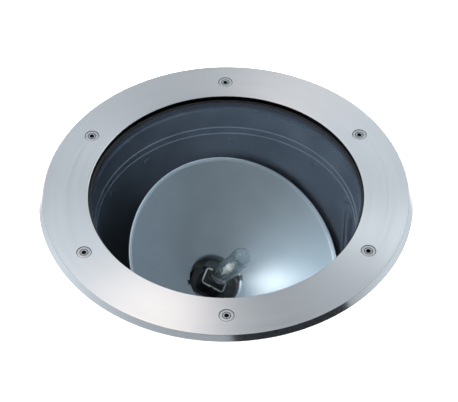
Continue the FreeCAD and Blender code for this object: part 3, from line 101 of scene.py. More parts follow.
def node(tree: bpy.types.NodeTree, kind: str, settings: dict[str, Any] | None = None,
         sockets: dict[str | int, Any] | None = None) -> bpy.types.Node:
    """Add one node with its settings, its socket values and its links.

    Args:
        tree: the node tree that gets it.
        kind: the node's type name.
        settings: properties of the node.
        sockets: input name or number, with a value or with the socket that feeds it.

    Returns:
        The new node.
    """
    made = tree.nodes.new(kind)
    for name, value in (settings or {}).items():
        setattr(made, name, value)
    for name, value in (sockets or {}).items():
        if isinstance(value, Socket):
            tree.links.new(value, made.inputs[name])
        else:
            made.inputs[name].default_value = value
    return made


def add_object(name: str, data: bpy.types.ID) -> bpy.types.Object:
    """Put a mesh, a lamp or a camera into the scene and give its object."""
    item = bpy.data.objects.new(name, data)
    bpy.context.scene.collection.objects.link(item)
    return item


def plain_mesh(name: str, work: bmesh.types.BMesh) -> bpy.types.Mesh:
    """Turn a shape in the making into a mesh.

    Args:
        name: the mesh's name.
        work: the shape, freed afterwards.

    Returns:
        The mesh.
    """
    mesh = bpy.data.meshes.new(name)
    work.to_mesh(mesh)
    work.free()
    return mesh


MIX_FACTOR, MIX_FIRST, MIX_SECOND, MIX_RESULT = 0, 6, 7, 2
"""Numbers of a colour mix's sockets; their names are shared by its other modes."""


class Drawing:
    """A node tree in the making, with the sums that its patterns share."""

    def __init__(self, tree: bpy.types.NodeTree) -> None:
        """Start from a cleared tree."""
        self.tree = tree
        self.tree.nodes.clear()

    def math(self, operation: str, *values: Any) -> Socket:
        """Work out one number.

        Args:
            operation: name of the sum, such as "MULTIPLY".
            values: numbers or sockets.

        Returns:
            The result.
        """
        made = node(self.tree, "ShaderNodeMath", {"operation": operation}, dict(enumerate(values)))
        return made.outputs[0]

    def vector(self, operation: str, *values: Any) -> Socket:
        """Work out one vector, or one number from vectors.

        Args:
            operation: name of the sum, such as "NORMALIZE".
            values: vectors or sockets.

        Returns:
            The result.
        """
        made = node(self.tree, "ShaderNodeVectorMath", {"operation": operation}, dict(enumerate(values)))
        return made.outputs["Value" if operation in ("LENGTH", "DOT_PRODUCT") else "Vector"]

    def between(self, pattern: Socket, low: float, high: float, start: float = 0.3,
                end: float = 0.7) -> Socket:
        """Spread a pattern over a range of numbers.

        Args:
            pattern: values from 0 to 1.
            low: result where the pattern is at its start.
            high: result where it is at its end.
            start: pattern value that gives low.
            end: pattern value that gives high.

        Returns:
            The spread numbers.
        """
        made = node(self.tree, "ShaderNodeMapRange", sockets={
            "Value": pattern, "From Min": start, "From Max": end, "To Min": low, "To Max": high})
        return made.outputs["Result"]

    def split(self, place: Socket) -> tuple[Socket, Socket, Socket]:
        """Give the three numbers of a place."""
        return tuple(node(self.tree, "ShaderNodeSeparateXYZ", sockets={"Vector": place}).outputs)

    def join(self, **values: Any) -> Socket:
        """Make a vector of the numbers or sockets given as X, Y and Z."""
        return node(self.tree, "ShaderNodeCombineXYZ", sockets=values).outputs["Vector"]

    def axial(self, place: Socket) -> tuple[Socket, Socket, Socket]:
        """Measure a place from the Z axis.

        Args:
            place: its coordinates.

        Returns:
            The place at height 0, its distance from the axis and its height.
        """
        x, y, height = self.split(place)
        flat = self.join(X=x, Y=y)
        return flat, self.vector("LENGTH", flat), height


class Coating(Drawing):
    """A material in the making: one Principled shader and the patterns drawn on it."""

    def __init__(self, name: str, colour: str, metallic: float, roughness: float) -> None:
        """Start from a plain shader.

        Args:
            name: the material's name.
            colour: sRGB hex of its mean colour.
            metallic: 1 for bare metal, 0 for anything else.
            roughness: mean roughness.
        """
        self.material = bpy.data.materials.new(name)
        self.material.use_nodes = True
        super().__init__(self.material.node_tree)
        self.shader = node(self.tree, "ShaderNodeBsdfPrincipled", sockets={
            "Base Color": linear(colour), "Metallic": metallic, "Roughness": roughness})
        self.output = node(self.tree, "ShaderNodeOutputMaterial",
                           sockets={"Surface": self.shader.outputs["BSDF"]})
        self.place = node(self.tree, "ShaderNodeTexCoord").outputs["Object"]

    def turned(self) -> Socket:
        """Coordinates about the piece's own axis, which its mesh carries."""
        return node(self.tree, "ShaderNodeAttribute", {"attribute_name": TURNED}).outputs["Vector"]

    def noise(self, size: float, detail: float = 2.0, place: Socket | None = None) -> Socket:
        """Cloudy pattern between 0 and 1.

        Args:
            size: size of its blotches in metres.
            detail: how many finer layers it has.
            place: coordinates to draw it on, the piece's own if None.

        Returns:
            The pattern.
        """
        made = node(self.tree, "ShaderNodeTexNoise", sockets={
            "Vector": place or self.place, "Scale": 1 / size, "Detail": detail})
        return made.outputs["Fac"]

    def feed(self, name: str, pattern: Socket) -> None:
        """Let a pattern feed one of the shader's sockets."""
        self.tree.links.new(pattern, self.shader.inputs[name])

    def tint(self, pattern: Socket, first: str, second: str) -> None:
        """Let the base colour move between two colours with a pattern.

        Args:
            pattern: 0 gives the first colour, 1 the second.
            first: sRGB hex.
            second: sRGB hex.
        """
        mixed = node(self.tree, "ShaderNodeMix", {"data_type": "RGBA"}, {
            MIX_FACTOR: pattern, MIX_FIRST: linear(first), MIX_SECOND: linear(second)})
        self.feed("Base Color", mixed.outputs[MIX_RESULT])

    def polish(self, pattern: Socket, low: float, high: float) -> None:
        """Let the roughness move from low to high with a pattern."""
        self.feed("Roughness", self.between(pattern, low, high))

    def relief(self, pattern: Socket, depth: float, strength: float) -> None:
        """Raise and lower the surface's shading with a pattern.

        Args:
            pattern: heights from 0 to 1.
            depth: height of a full step in metres.
            strength: share of the effect.
        """
        bump = node(self.tree, "ShaderNodeBump", sockets={
            "Height": pattern, "Distance": depth, "Strength": strength})
        self.feed("Normal", bump.outputs["Normal"])

    def set(self, **values: Any) -> None:
        """Set plain values on the shader's own sockets; an underscore stands for a space."""
        for name, value in values.items():
            self.shader.inputs[name.replace("_", " ")].default_value = value

    def surface(self, shown: Socket) -> None:
        """Show another shader than the plain one."""
        self.tree.links.new(shown, self.output.inputs["Surface"])

    def clear_to_lamps(self) -> None:
        """Let the lamps' light through, as real clear glass does, while sight is still bent."""
        clear = node(self.tree, "ShaderNodeBsdfTransparent")
        path = node(self.tree, "ShaderNodeLightPath")
        mixed = node(self.tree, "ShaderNodeMixShader", sockets={
            0: path.outputs["Is Shadow Ray"], 1: self.shader.outputs["BSDF"], 2: clear.outputs["BSDF"]})
        self.surface(mixed.outputs["Shader"])


@dataclass(frozen=True)
class Finish:
    """One finish of the light: two tints in blotches or where a mark is, over a fine grain."""

    slot: str
    colour: str
    """Its mean colour."""
    metallic: float = 0.0
    roughness: float = 0.5
    tints: tuple[str, str] = ("FFFFFF", "FFFFFF")
    spread: float = 0.0
    """How far the roughness wanders to each side of its mean."""
    blotch: float = 3 * MM
    """Size of the blotches of one tint."""
    detail: float = 2.0
    """How many finer layers the blotches have."""
    start: float = 0.3
    """Pattern value at which the second tint begins to show."""
    blotch_share: float = 1.0
    """How much of the second tint the blotches have."""
    mark_share: float = 0.0
    """How much of it the mark adds."""
    grain: float = 0.0
    """Size of the grain; at 0 the blotches themselves stand out."""
    grain_detail: float = 2.0
    depth: float = 0.02 * MM
    """Height of the relief."""
    strength: float = 0.3
    """Share of the relief that shows."""
    stretch: Triple = (1.0, 1.0, 1.0)
    """Scale of the blotches along each axis; under 1 draws them out."""

    @property
    def sheen(self) -> Span:
        """Least and greatest roughness."""
        return (self.roughness - self.spread, self.roughness + self.spread)

    def build(self) -> bpy.types.Material:
        """Make the material.

        Returns:
            The finished material.
        """
        coating = Coating(self.slot, self.colour, self.metallic, self.roughness)
        self.dress(coating)
        return coating.material

    def dress(self, coating: Coating) -> None:
        """Draw the finish's pattern.

        Args:
            coating: the material to draw on.
        """
        place = node(coating.tree, "ShaderNodeMapping", sockets={
            "Vector": coating.place, "Scale": self.stretch}).outputs["Vector"]
        blotches = coating.noise(self.blotch, self.detail, place)
        shade = coating.between(blotches, 0, self.blotch_share, self.start)
        if self.mark_share:
            shade = coating.math("MULTIPLY_ADD", self.mark(coating), self.mark_share, shade)
        coating.tint(shade, *self.tints)
        coating.polish(blotches, *self.sheen)
        relief = coating.noise(self.grain, self.grain_detail) if self.grain else blotches
        coating.relief(relief, self.depth, self.strength)

    def mark(self, coating: Coating) -> Socket:
        """Draw where the second tint is strongest, from 0 to 1."""
        raise NotImplementedError


@dataclass(frozen=True)
class BrushedStainless(Finish):
    """Stainless plate brushed in circles: satin, with highlights drawn out across the brushing."""

    streak: float = 0.55 * MM
    """Radial width of a brush line; real ones are near 0.1 mm, too fine to show."""
    sweep: float = 1.6
    """How much a brush line changes on its way round."""
    face: float = 1.0
    # Height of the brushed face; below it the countersinks and the bore get painted shade.
    """Height of the brushed face; below it the countersinks and the bore are dark with grime."""
    painted_shade: Span = (0.35 * MM, 0.1 * MM)
    # Depths below the face where the painted shade is full, and where it ends.
    """Depths below the face where the grime is full, and where it ends."""
    bevel: float = 1.0
    """Radius at which the outer bevel begins, turned bright and not brushed."""
    bevel_roughness: float = 0.14
    drawn_out: float = 0.8
    """How far the highlight is drawn out."""

    def dress(self, coating: Coating) -> None:
        """Draw circular brush lines, turn the highlight across them and paint shade into the recesses.

        Args:
            coating: the material to draw on.
        """
        flat, reach, height = coating.axial(coating.place)
        outward = coating.vector("NORMALIZE", flat)
        round_it = coating.vector("MULTIPLY", outward, (self.sweep, self.sweep, self.sweep))
        lines = coating.join(Z=coating.math("DIVIDE", reach, self.streak))
        brushing = coating.noise(1.0, 3.0, coating.vector("ADD", round_it, lines))
        # Painted shade: below the face, the countersinks and the bore darken to the first tint.
        sunk = coating.between(height, 1, 0, *(self.face - depth for depth in self.painted_shade))
        inside = coating.math("LESS_THAN", reach, self.bevel)
        unshaded = coating.math("SUBTRACT", 1, coating.math("MULTIPLY", sunk, inside))
        coating.tint(coating.math("MULTIPLY", unshaded, coating.between(brushing, 0.96, 1)), *self.tints)
        extra = coating.math("SUBTRACT", coating.between(brushing, *self.sheen), self.bevel_roughness)
        coating.feed("Roughness", coating.math("MULTIPLY_ADD", inside, extra, self.bevel_roughness))
        coating.relief(brushing, self.depth, self.strength)
        coating.feed("Anisotropic", coating.math("MULTIPLY", inside, self.drawn_out))
        coating.feed("Tangent", outward)


@dataclass(frozen=True)
class TurnedSteel(Finish):
    """Turned screws: fine rings about each screw's own axis, kept in the piece's turned attribute."""

    painted_shade: Span = (-0.5 * MM, -0.03 * MM)
    # Heights from the head's top where the painted shade is full, and where it ends.
    """Heights from the head's top where the grime is full, and where it ends."""

    def dress(self, coating: Coating) -> None:
        """Draw rings about the axis that the mesh itself carries, and paint shade into the recesses.

        Args:
            coating: the material to draw on.
        """
        _, reach, height = coating.axial(coating.turned())
        rings = coating.noise(self.blotch, self.detail, coating.join(X=reach, Y=height))
        # Painted shade: below the head's top, the key's socket and the groove darken to the first tint.
        unshaded = coating.math("SUBTRACT", 1, coating.between(height, 1, 0, *self.painted_shade))
        coating.tint(coating.math("MULTIPLY", coating.between(rings, 0.75, 1), unshaded), *self.tints)
        coating.polish(rings, *self.sheen)
        coating.relief(rings, self.depth, self.strength)


@dataclass(frozen=True)
class Glass(Finish):
    """Clear glass: waves where it was drawn by hand, frost where its edge is ground."""

    ior: float = 1.5
    gloss: float = 0.5
    edge: float = 0.0
    """Radius at which the ground edge begins; 0 for none."""
    frost: float = 0.4

    def dress(self, coating: Coating) -> None:
        """Frost the rim or ripple the faces, and leave them clear.

        Args:
            coating: the material to draw on.
        """
        if self.edge:
            rim = coating.math("GREATER_THAN", coating.axial(coating.place)[1], self.edge)
            coating.feed("Roughness", coating.math("MULTIPLY", rim, self.frost))
        if self.grain:
            coating.relief(coating.noise(self.grain, self.grain_detail), self.depth, self.strength)
        coating.set(Transmission_Weight=1.0, IOR=self.ior, Specular_IOR_Level=self.gloss)
        coating.clear_to_lamps()


@dataclass(frozen=True)
class Silicone(Finish):
    """Black silicone: matt, painted lighter grey as light where it lies under the glass; above it, it stays
    black.
    """

    glass_top: float = 294 * MM
    painted_light: Span = (0.6 * MM, 0.2 * MM)
    # Depths below the glass's top where the painted light is full, and where it ends.
    """Depths below the glass's top where the bloom is full, and where it ends."""

    def mark(self, coating: Coating) -> Socket:
        """Painted light under the glass."""
        height = coating.split(coating.place)[2]
        return coating.between(height, 1, 0, *(self.glass_top - depth for depth in self.painted_light))


@dataclass(frozen=True)
class PaintedCasting(Finish):
    """Die-cast aluminium with a dark powder coat: fine orange peel over a smooth casting, with highlights
    painted along its raised band's edges.
    """

    edges: Sequence[float] = (256.7 * MM, 249.6 * MM)
    # Heights of the raised band's two edges, where pale lines are painted on as highlights.
    """Heights of the raised band's two edges, where the coat is thin and pale."""
    edge_width: float = 0.5 * MM

    def mark(self, coating: Coating) -> Socket:
        """Painted highlights: pale lines along the raised band's edges.

        Args:
            coating: the material to draw on.

        Returns:
            1 on an edge, 0 past its width.
        """
        height = coating.split(coating.place)[2]
        edge_highlight: Any = 0.0
        for edge in self.edges:
            away = coating.math("ABSOLUTE", coating.math("SUBTRACT", height, edge))
            edge_highlight = coating.math("MAXIMUM", edge_highlight, coating.between(away, 1, 0, 0, self.edge_width))
        return edge_highlight


@dataclass(frozen=True)
class GalvanisedSheet(Finish):
    """Hot-dip zinc on steel sheet: pale spangles a few millimetres wide."""

    def dress(self, coating: Coating) -> None:
        """Draw the spangles as flat cells of slightly different grey.

        Args:
            coating: the material to draw on.
        """
        cells = node(coating.tree, "ShaderNodeTexVoronoi", sockets={
            "Vector": coating.place, "Scale": 1 / self.blotch})
        shade = node(coating.tree, "ShaderNodeSeparateColor", sockets={"Color": cells.outputs["Color"]})
        coating.tint(shade.outputs[0], *self.tints)
        coating.polish(shade.outputs[1], *self.sheen)
        coating.relief(cells.outputs["Distance"], self.depth, self.strength)


@dataclass(frozen=True)
class SatinReflector(Finish):
    """Spun and etched aluminium, anodised: a satin mirror with a fine grain, coarser than real; its rim's
    edge carries a painted highlight.
    """

    edge: Span = (103.9 * MM, 104.0 * MM)
    # Radii where the highlight painted on the rim's turned edge begins, and where it is full.
    """Radii where the rim's turned edge begins, brighter than the etched face, and where it is full."""
    highlight_metallic: float = 0.2

    def mark(self, coating: Coating) -> Socket:
        """Painted highlight on the turned edge: a pale tint with less metal, so that it shows bright.

        Args:
            coating: the material to draw on.

        Returns:
            1 on the edge, 0 on the face.
        """
        edge = coating.between(coating.axial(coating.turned())[1], 0, 1, *self.edge)
        change = self.highlight_metallic - self.metallic
        coating.feed("Metallic", coating.math("MULTIPLY_ADD", edge, change, self.metallic))
        return edge


@dataclass(frozen=True)
class LampBase(Finish):
    """Pale ceramic lamp base painted dark as shade in its well, with its raised border's top left pale."""

    rim: float = 0.0
    """Height of the border's top along the beam axis, from the tilt axis."""
    shade_lift: Span = (0.5 * MM, 0.2 * MM)
    # Depths below that top where the painted shade begins to lift, and where it is gone.
    """Depths below that top where the rubbing begins, and where it is full."""
    axis: Triple = (0.0, 0.0, 1.0)
    pivot: Triple = (0.0, 0.0, 0.0)

    def mark(self, coating: Coating) -> Socket:
        """Top face of the border, left pale; the rest of the base gets painted shade."""
        from_pivot = coating.vector("SUBTRACT", coating.place, self.pivot)
        height = coating.vector("DOT_PRODUCT", from_pivot, self.axis)
        return coating.between(height, 0, 1, *(self.rim - depth for depth in self.shade_lift))


@dataclass(frozen=True)
class Banded(Finish):
    """Varnished bands side by side: stacked iron sheets, or overlapping turns of tape."""

    across: str = "Y"
    profile: str = "SIN"
    """How a band's height runs across it; a saw's steps overlap."""
    pitch: float = 1.0 * MM
    waver: float = 0.4

    def dress(self, coating: Coating) -> None:
        """Rule the bands' edges, as raised lines.

        Args:
            coating: the material to draw on.
        """
        bands = node(coating.tree, "ShaderNodeTexWave", {
            "bands_direction": self.across, "wave_profile": self.profile}, {
            "Vector": coating.place, "Scale": WHOLE_TURN / (20 * self.pitch), "Distortion": self.waver})
        coating.tint(bands.outputs["Fac"], *self.tints)
        coating.polish(coating.noise(self.blotch), *self.sheen)
        coating.relief(bands.outputs["Fac"], self.depth, self.strength)


@dataclass(frozen=True)
class OpticFrame:
    """Where the optic stands at rest: its tilt axis, the way it faces and its tilt."""

    pivot: Vector
    pan: float = math.radians(-45)
    tilt: float = math.radians(30)
    lamp_turn: float = math.radians(27)

    @property
    def bowl(self) -> Matrix:
        """Place of the bowl, its +Z along the beam."""
        turned = Matrix.Rotation(self.pan, 4, "Z") @ Matrix.Rotation(self.tilt, 4, "Y")
        return Matrix.Translation(self.pivot) @ turned

    @property
    def lamp(self) -> Matrix:
        """Place of the lamp, turned about the beam."""
        return self.bowl @ Matrix.Rotation(self.lamp_turn, 4, "Z")

    @property
    def axis(self) -> Vector:
        """Direction of the beam."""
        return (self.bowl.to_3x3() @ Vector((0, 0, 1))).normalized()


@dataclass
class FinishBook:
    """Every finish of the light, by its slot."""

    glass_edge: float
    ring_face: float
    bevel: float
    optic: OpticFrame
    base_rim: float = -31 * MM
    """Height of the lamp base's border along the beam, from the tilt axis."""
    built: dict[str, bpy.types.Material] = field(default_factory=dict)

    def finishes(self) -> Iterable[Finish]:
        """List the finishes.

        Returns:
            One for each slot of the record.
        """
        zinc = {"metallic": 1.0, "roughness": 0.31, "tints": ("ABAFB1", "BFC0B8"), "spread": 0.07,
                "grain": 0.4 * MM, "depth": 0.01 * MM}
        moulded = {"spread": 0.06, "blotch": 12 * MM, "grain": 0.5 * MM, "depth": 0.03 * MM, "strength": 0.4}
        speckled = {"blotch": 0.9 * MM, "detail": 3.0, "start": 0.55, "depth": 0.03 * MM, "strength": 0.4}
        return (
            # Brushed stainless: its dark first tint is painted shade in the countersinks and the bore.
            BrushedStainless("brushed_stainless", "CDD2D5", 1.0, 0.36, ("17191B", "D8DCDF"), 0.04,
                             strength=0.25, face=self.ring_face, bevel=self.bevel),
            # Screws: their dark first tint is painted shade in the key's socket and the groove.
            TurnedSteel("stainless_screws", "BFC4C8", 1.0, 0.42, ("2B2E31", "C2C7CB"), 0.05, 0.5 * MM),
            Glass("toughened_glass", "E6F1F7", roughness=0.0, gloss=0.25, edge=self.glass_edge),
            # Silicone: its grey second tint is painted light under the glass.
            Silicone("black_silicone", "0E0F11", 0.0, 0.6, ("0A0B0D", "434A56"), 0.1, detail=3.0,
                     blotch_share=0.15, mark_share=0.85, grain=0.6 * MM, strength=0.5),
            # Painted casting: its pale second tint, full at the band's edges, is a painted highlight there.
            PaintedCasting("painted_casting", "484D57", 0.0, 0.47, ("424A56", "8D99A6"), 0.05, 35 * MM,
                           blotch_share=0.12, mark_share=0.3, grain=0.9 * MM, depth=0.05 * MM,
                           strength=0.35),
            GalvanisedSheet("galvanised_sheet", "A8ADB0", 1.0, 0.4, ("9AA0A4", "B4B9BC"), 0.08, 5 * MM),
            # Reflector: its near-white second tint, full on the rim's edge, is a painted highlight there.
            SatinReflector("spun_aluminium", "98A7B1", 0.82, 0.38, ("CDD8DF", "F6FAFC"), 0.02, 22 * MM,
                           blotch_share=0.15, mark_share=0.85, grain=0.9 * MM, depth=0.05 * MM,
                           strength=0.5),
            Finish("cast_aluminium", "989C9F", 1.0, 0.525, ("8B8F93", "A5A9AC"), 0.075, 1.2 * MM, 4.0,
                   depth=0.08 * MM, strength=0.5),
            # Painted shade: the lampholder is darkened to this grey for the inside of the bowl's neck.
            Finish("grey_ceramic", "55585A", 0.0, 0.7, ("55585A", "47494B"), **speckled),
            # Lamp base: its dark first tint is painted shade; the pale second tint is the ceramic's own
            # colour.
            LampBase("lamp_ceramic", "C4C8C0", 0.0, 0.6, ("1F2224", "C4C8C0"), blotch_share=0.0,
                     mark_share=1.0, grain=0.9 * MM, grain_detail=3.0, depth=0.03 * MM, strength=0.4,
                     rim=self.base_rim, axis=tuple(self.optic.axis), pivot=tuple(self.optic.pivot)),
            Glass("quartz", "F7FBFC", roughness=0.0, grain=2.6 * MM, grain_detail=1.0, depth=0.25 * MM,
                  strength=0.5, ior=1.46),
            Finish("arc_ceramic", "E9E8E0", 0.0, 0.4, ("E9E8E0", "DAD8CE"), **speckled),
            Finish("lamp_metal", "B8B8B4", **zinc),
            Finish("zinc_fasteners", "B5B8B8", **zinc),
            Banded("ballast_iron", "2A2B2E", 0.0, 0.4, ("1E1F22", "3A3B3E"), 0.1, 6 * MM,
                   depth=0.1 * MM, strength=0.6),
            Banded("coil_wrap", "73281B", 0.0, 0.425, ("6B2217", "7D2E1F"), 0.075, 4 * MM,
                   depth=0.3 * MM, strength=0.6, across="X", profile="SAW", pitch=9 * MM, waver=0.2),
            Finish("can_aluminium", "B8BCBF", 1.0, 0.34, ("AEB2B5", "C2C5C7"), 0.06, 0.6 * MM,
                   stretch=(0.03, 1.0, 1.0)),
            Finish("black_polyamide", "17181A", 0.0, 0.5, ("17181A", "26282B"), **moulded),
            Finish("white_thermoplastic", "D9D8D2", 0.0, 0.42, ("D9D8D2", "CFCDC5"), **moulded),
            Finish("natural_nylon", "D8D3C4", 0.0, 0.5, ("D8D3C4", "CBC5B3"), **moulded),
            Finish("brass_earth", "B8934F", 1.0, 0.335, ("A88443", "C6A35C"), 0.085, 2 * MM, 3.0,
                   strength=0.0),
        )

    def build(self) -> None:
        """Make every material once."""
        for finish in self.finishes():
            self.built[finish.slot] = finish.build()

    def dress_frame(self) -> None:
        """Give every carried-over node its finish."""
        for subpart in frame["record"]["subparts"]:
            name, slot = subpart["node"], subpart["material_slot"]
            piece = frame["nodes"][name]
            piece.data.materials.clear()
            piece.data.materials.append(self.built[slot])
            LOG.info("%s: solid in %s", name, slot)


def arc(centre: Span, radius: float, start: float, end: float, count: int) -> list[Span]:
    """Points along a round part of a profile.

    Args:
        centre: its middle, as radius and height.
        radius: its own radius.
        start: first angle in degrees, 0 outwards and 90 up.
        end: last angle.
        count: number of points.

    Returns:
        The points in order.
    """
    angles = [math.radians(start + (end - start) * step / (count - 1)) for step in range(count)]
    return [(centre[0] + radius * math.cos(a), centre[1] + radius * math.sin(a)) for a in angles]


@dataclass
class Turning:
    """A piece turned on its own axis, from outlines in millimetres."""

    name: str
    steps: int = 96
    shape: Callable[[float, float, float], Span] | None = None
    """Bends a ring out of round: gives both coordinates for radius, height and angle."""
    work: bmesh.types.BMesh = field(default_factory=bmesh.new)

    def spin(self, profile: Profile, closed: bool = False, inside: bool = False) -> None:
        """Spin one outline.

        Args:
            profile: radii and heights; a radius of 0 closes on the axis.
            closed: joins the last point to the first.
            inside: turns the faces inwards, for the wall of a hollow.
        """
        rings = [self.ring(radius, height) for radius, height in profile]
        faces = []
        pairs = list(zip(rings, rings[1:])) + ([(rings[-1], rings[0])] if closed else [])
        for low, high in pairs:
            for step in range(self.steps):
                after = (step + 1) % self.steps
                corners = [low[step % len(low)], low[after % len(low)],
                           high[after % len(high)], high[step % len(high)]]
                faces.append(self.work.faces.new(list(dict.fromkeys(corners))))
        bmesh.ops.recalc_face_normals(self.work, faces=faces)
        if inside:
            bmesh.ops.reverse_faces(self.work, faces=faces)

    def ring(self, radius: float, height: float) -> list[bmesh.types.BMVert]:
        """Lay one ring of points, or a single point on the axis.

        Args:
            radius: its radius.
            height: its height.

        Returns:
            The points in order.
        """
        if radius == 0:
            return [self.work.verts.new((0, 0, height * MM))]
        points = []
        for step in range(self.steps):
            angle = WHOLE_TURN * step / self.steps
            x, y = (radius * math.cos(angle), radius * math.sin(angle))
            if self.shape is not None:
                x, y = self.shape(radius, height, angle)
            points.append(self.work.verts.new((x * MM, y * MM, height * MM)))
        return points

    def finish(self, place: Matrix | None = None, sharp: float = SHARP) -> bpy.types.Mesh:
        """Make the mesh, keep its own coordinates on it and put it in place.

        Args:
            place: its place in the part's frame.
            sharp: edges that turn more than this stay crisp.

        Returns:
            The finished mesh.
        """
        mesh = plain_mesh(self.name, self.work)
        own = mesh.attributes.new(TURNED, "FLOAT_VECTOR", "POINT")
        for vertex, item in zip(mesh.vertices, own.data):
            item.vector = vertex.co
        for polygon in mesh.polygons:
            polygon.use_smooth = True
        mesh.set_sharp_from_angle(angle=sharp)
        if place is not None:
            mesh.transform(place)
        return mesh


@dataclass
class Piece:
    """One dressed piece that goes into the scene."""

    name: str
    mesh: bpy.types.Mesh
    body: Body
    slot: str
    stands_for: Sequence[str]

    def show(self, finishes: FinishBook) -> None:
        """Put the piece into the scene on its body.

        Args:
            finishes: where its material comes from.
        """
        self.mesh.materials.clear()
        self.mesh.materials.append(finishes.built[self.slot])
        item = add_object(self.name, self.mesh)
        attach(item, self.body.value)
        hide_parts(*self.stands_for)
        LOG.info("%s: on %s in %s, %d faces", self.name, self.body.value, self.slot, len(self.mesh.polygons))


def settled(item: bpy.types.Object) -> bpy.types.Mesh:
    """Apply an object's modifiers, and take the object itself out of the scene.

    Args:
        item: the object whose modifiers are wanted.

    Returns:
        The plain mesh that they give.
    """
    depsgraph = bpy.context.evaluated_depsgraph_get()
    mesh = bpy.data.meshes.new_from_object(item.evaluated_get(depsgraph))
    item.modifiers.clear()
    bpy.data.objects.remove(item)
    return mesh


@dataclass
class CoverScrews:
    """Six countersunk screws, one turned by script and set out round the ring by a node tree.

    The sizes of the screw itself are in millimetres.
    """

    circle: float
    head_top: float
    count: int = 6
    start: float = math.radians(30)
    key_flats: float = 4.0
    key_depth: float = 2.4
    thread_top: float = -6.0
    thread_foot: float = -21.0
    thread_pitch: float = 1.0
    thread_root: float = 2.55
    thread_crest: float = 3.0
    seed: int = 7

    def screw(self) -> bpy.types.Mesh:
        """Turn one screw, its head's top face at height 0.

        Returns:
            Its mesh.
        """
        turning = Turning("screw", steps=72, shape=self.socket)
        thread = []
        depth = self.thread_top
        while depth > self.thread_foot:
            thread += [(self.thread_crest, depth), (self.thread_crest, depth - 0.12),
                       (self.thread_root, depth - 0.5), (self.thread_root, depth - 0.6)]
            depth -= self.thread_pitch
        half = self.key_flats / 2
        key = [(0, -self.key_depth - 0.5), (half, -self.key_depth), (half, -0.35), (half + 0.38, 0)]
        groove = [(3.2, 0), (3.3, -0.45), (3.9, -0.45), (4.0, 0)]
        head = arc((5.85, -0.45), 0.45, 90, 0, 6) + [(6.3, -0.55), (3.0, -3.75)]
        turning.spin(key + groove + head + thread + [(2.4, -21.8), (0, -21.8)])
        return turning.finish()

    def socket(self, radius: float, height: float, angle: float) -> Span:
        """Make the rings of the key's socket six-sided; every other ring stays round.

        Args:
            radius: the ring's radius.
            height: its height.
            angle: where the point is on it.

        Returns:
            Both coordinates of the point.
        """
        in_socket = radius <= self.key_flats / 2 + 0.01 and height > -self.key_depth - 0.1
        if in_socket:
            sector = math.radians(60)
            radius /= math.cos(angle % sector - sector / 2)
        return (radius * math.cos(angle), radius * math.sin(angle))

    def tree(self) -> bpy.types.NodeTree:
        """Write the node tree that stands a copy at each place on a circle.

        Returns:
            The tree, its inputs named.
        """
        tree = bpy.data.node_groups.new("round_the_ring", "GeometryNodeTree")
        for name, kind in (("Screw", "Geometry"), ("Count", "Int"), ("Radius", "Float"), ("Height", "Float"),
                           ("Start", "Float"), ("Seed", "Int"), ("Material", "Material")):
            tree.interface.new_socket(name=name, in_out="INPUT", socket_type="NodeSocket" + kind)
        tree.interface.new_socket(name="Screws", in_out="OUTPUT", socket_type="NodeSocketGeometry")
        drawing = Drawing(tree)
        given = node(tree, "NodeGroupInput").outputs
        circle = node(tree, "GeometryNodeMeshCircle", sockets={
            "Vertices": given["Count"], "Radius": given["Radius"]})
        placed = node(tree, "GeometryNodeTransform", sockets={
            "Geometry": circle.outputs["Mesh"], "Translation": drawing.join(Z=given["Height"]),
            "Rotation": drawing.join(Z=given["Start"])})
        loose = node(tree, "FunctionNodeRandomValue", {"data_type": "FLOAT_VECTOR"}, {
            "Min": (0, 0, 0), "Max": (0, 0, WHOLE_TURN), "Seed": given["Seed"]})
        copies = node(tree, "GeometryNodeInstanceOnPoints", sockets={
            "Points": placed.outputs["Geometry"], "Instance": given["Screw"],
            "Rotation": loose.outputs["Value"]})
        real = node(tree, "GeometryNodeRealizeInstances", sockets={"Geometry": copies.outputs["Instances"]})
        painted = node(tree, "GeometryNodeSetMaterial", sockets={
            "Geometry": real.outputs["Geometry"], "Material": given["Material"]})
        node(tree, "NodeGroupOutput", sockets={0: painted.outputs["Geometry"]})
        return tree

    def mesh(self, finishes: FinishBook) -> bpy.types.Mesh:
        """Set the screws out and turn them into one plain mesh.

        Args:
            finishes: where their material comes from.

        Returns:
            The mesh of all of them.
        """
        single = add_object("screw", self.screw())
        modifier = single.modifiers.new("round_the_ring", "NODES")
        modifier.node_group = self.tree()
        values = {"Count": self.count, "Radius": self.circle, "Height": self.head_top, "Start": self.start,
                  "Seed": self.seed, "Material": finishes.built["stainless_screws"]}
        for socket in modifier.node_group.interface.items_tree:
            if socket.name in values:
                modifier[socket.identifier] = values[socket.name]
        return settled(single)


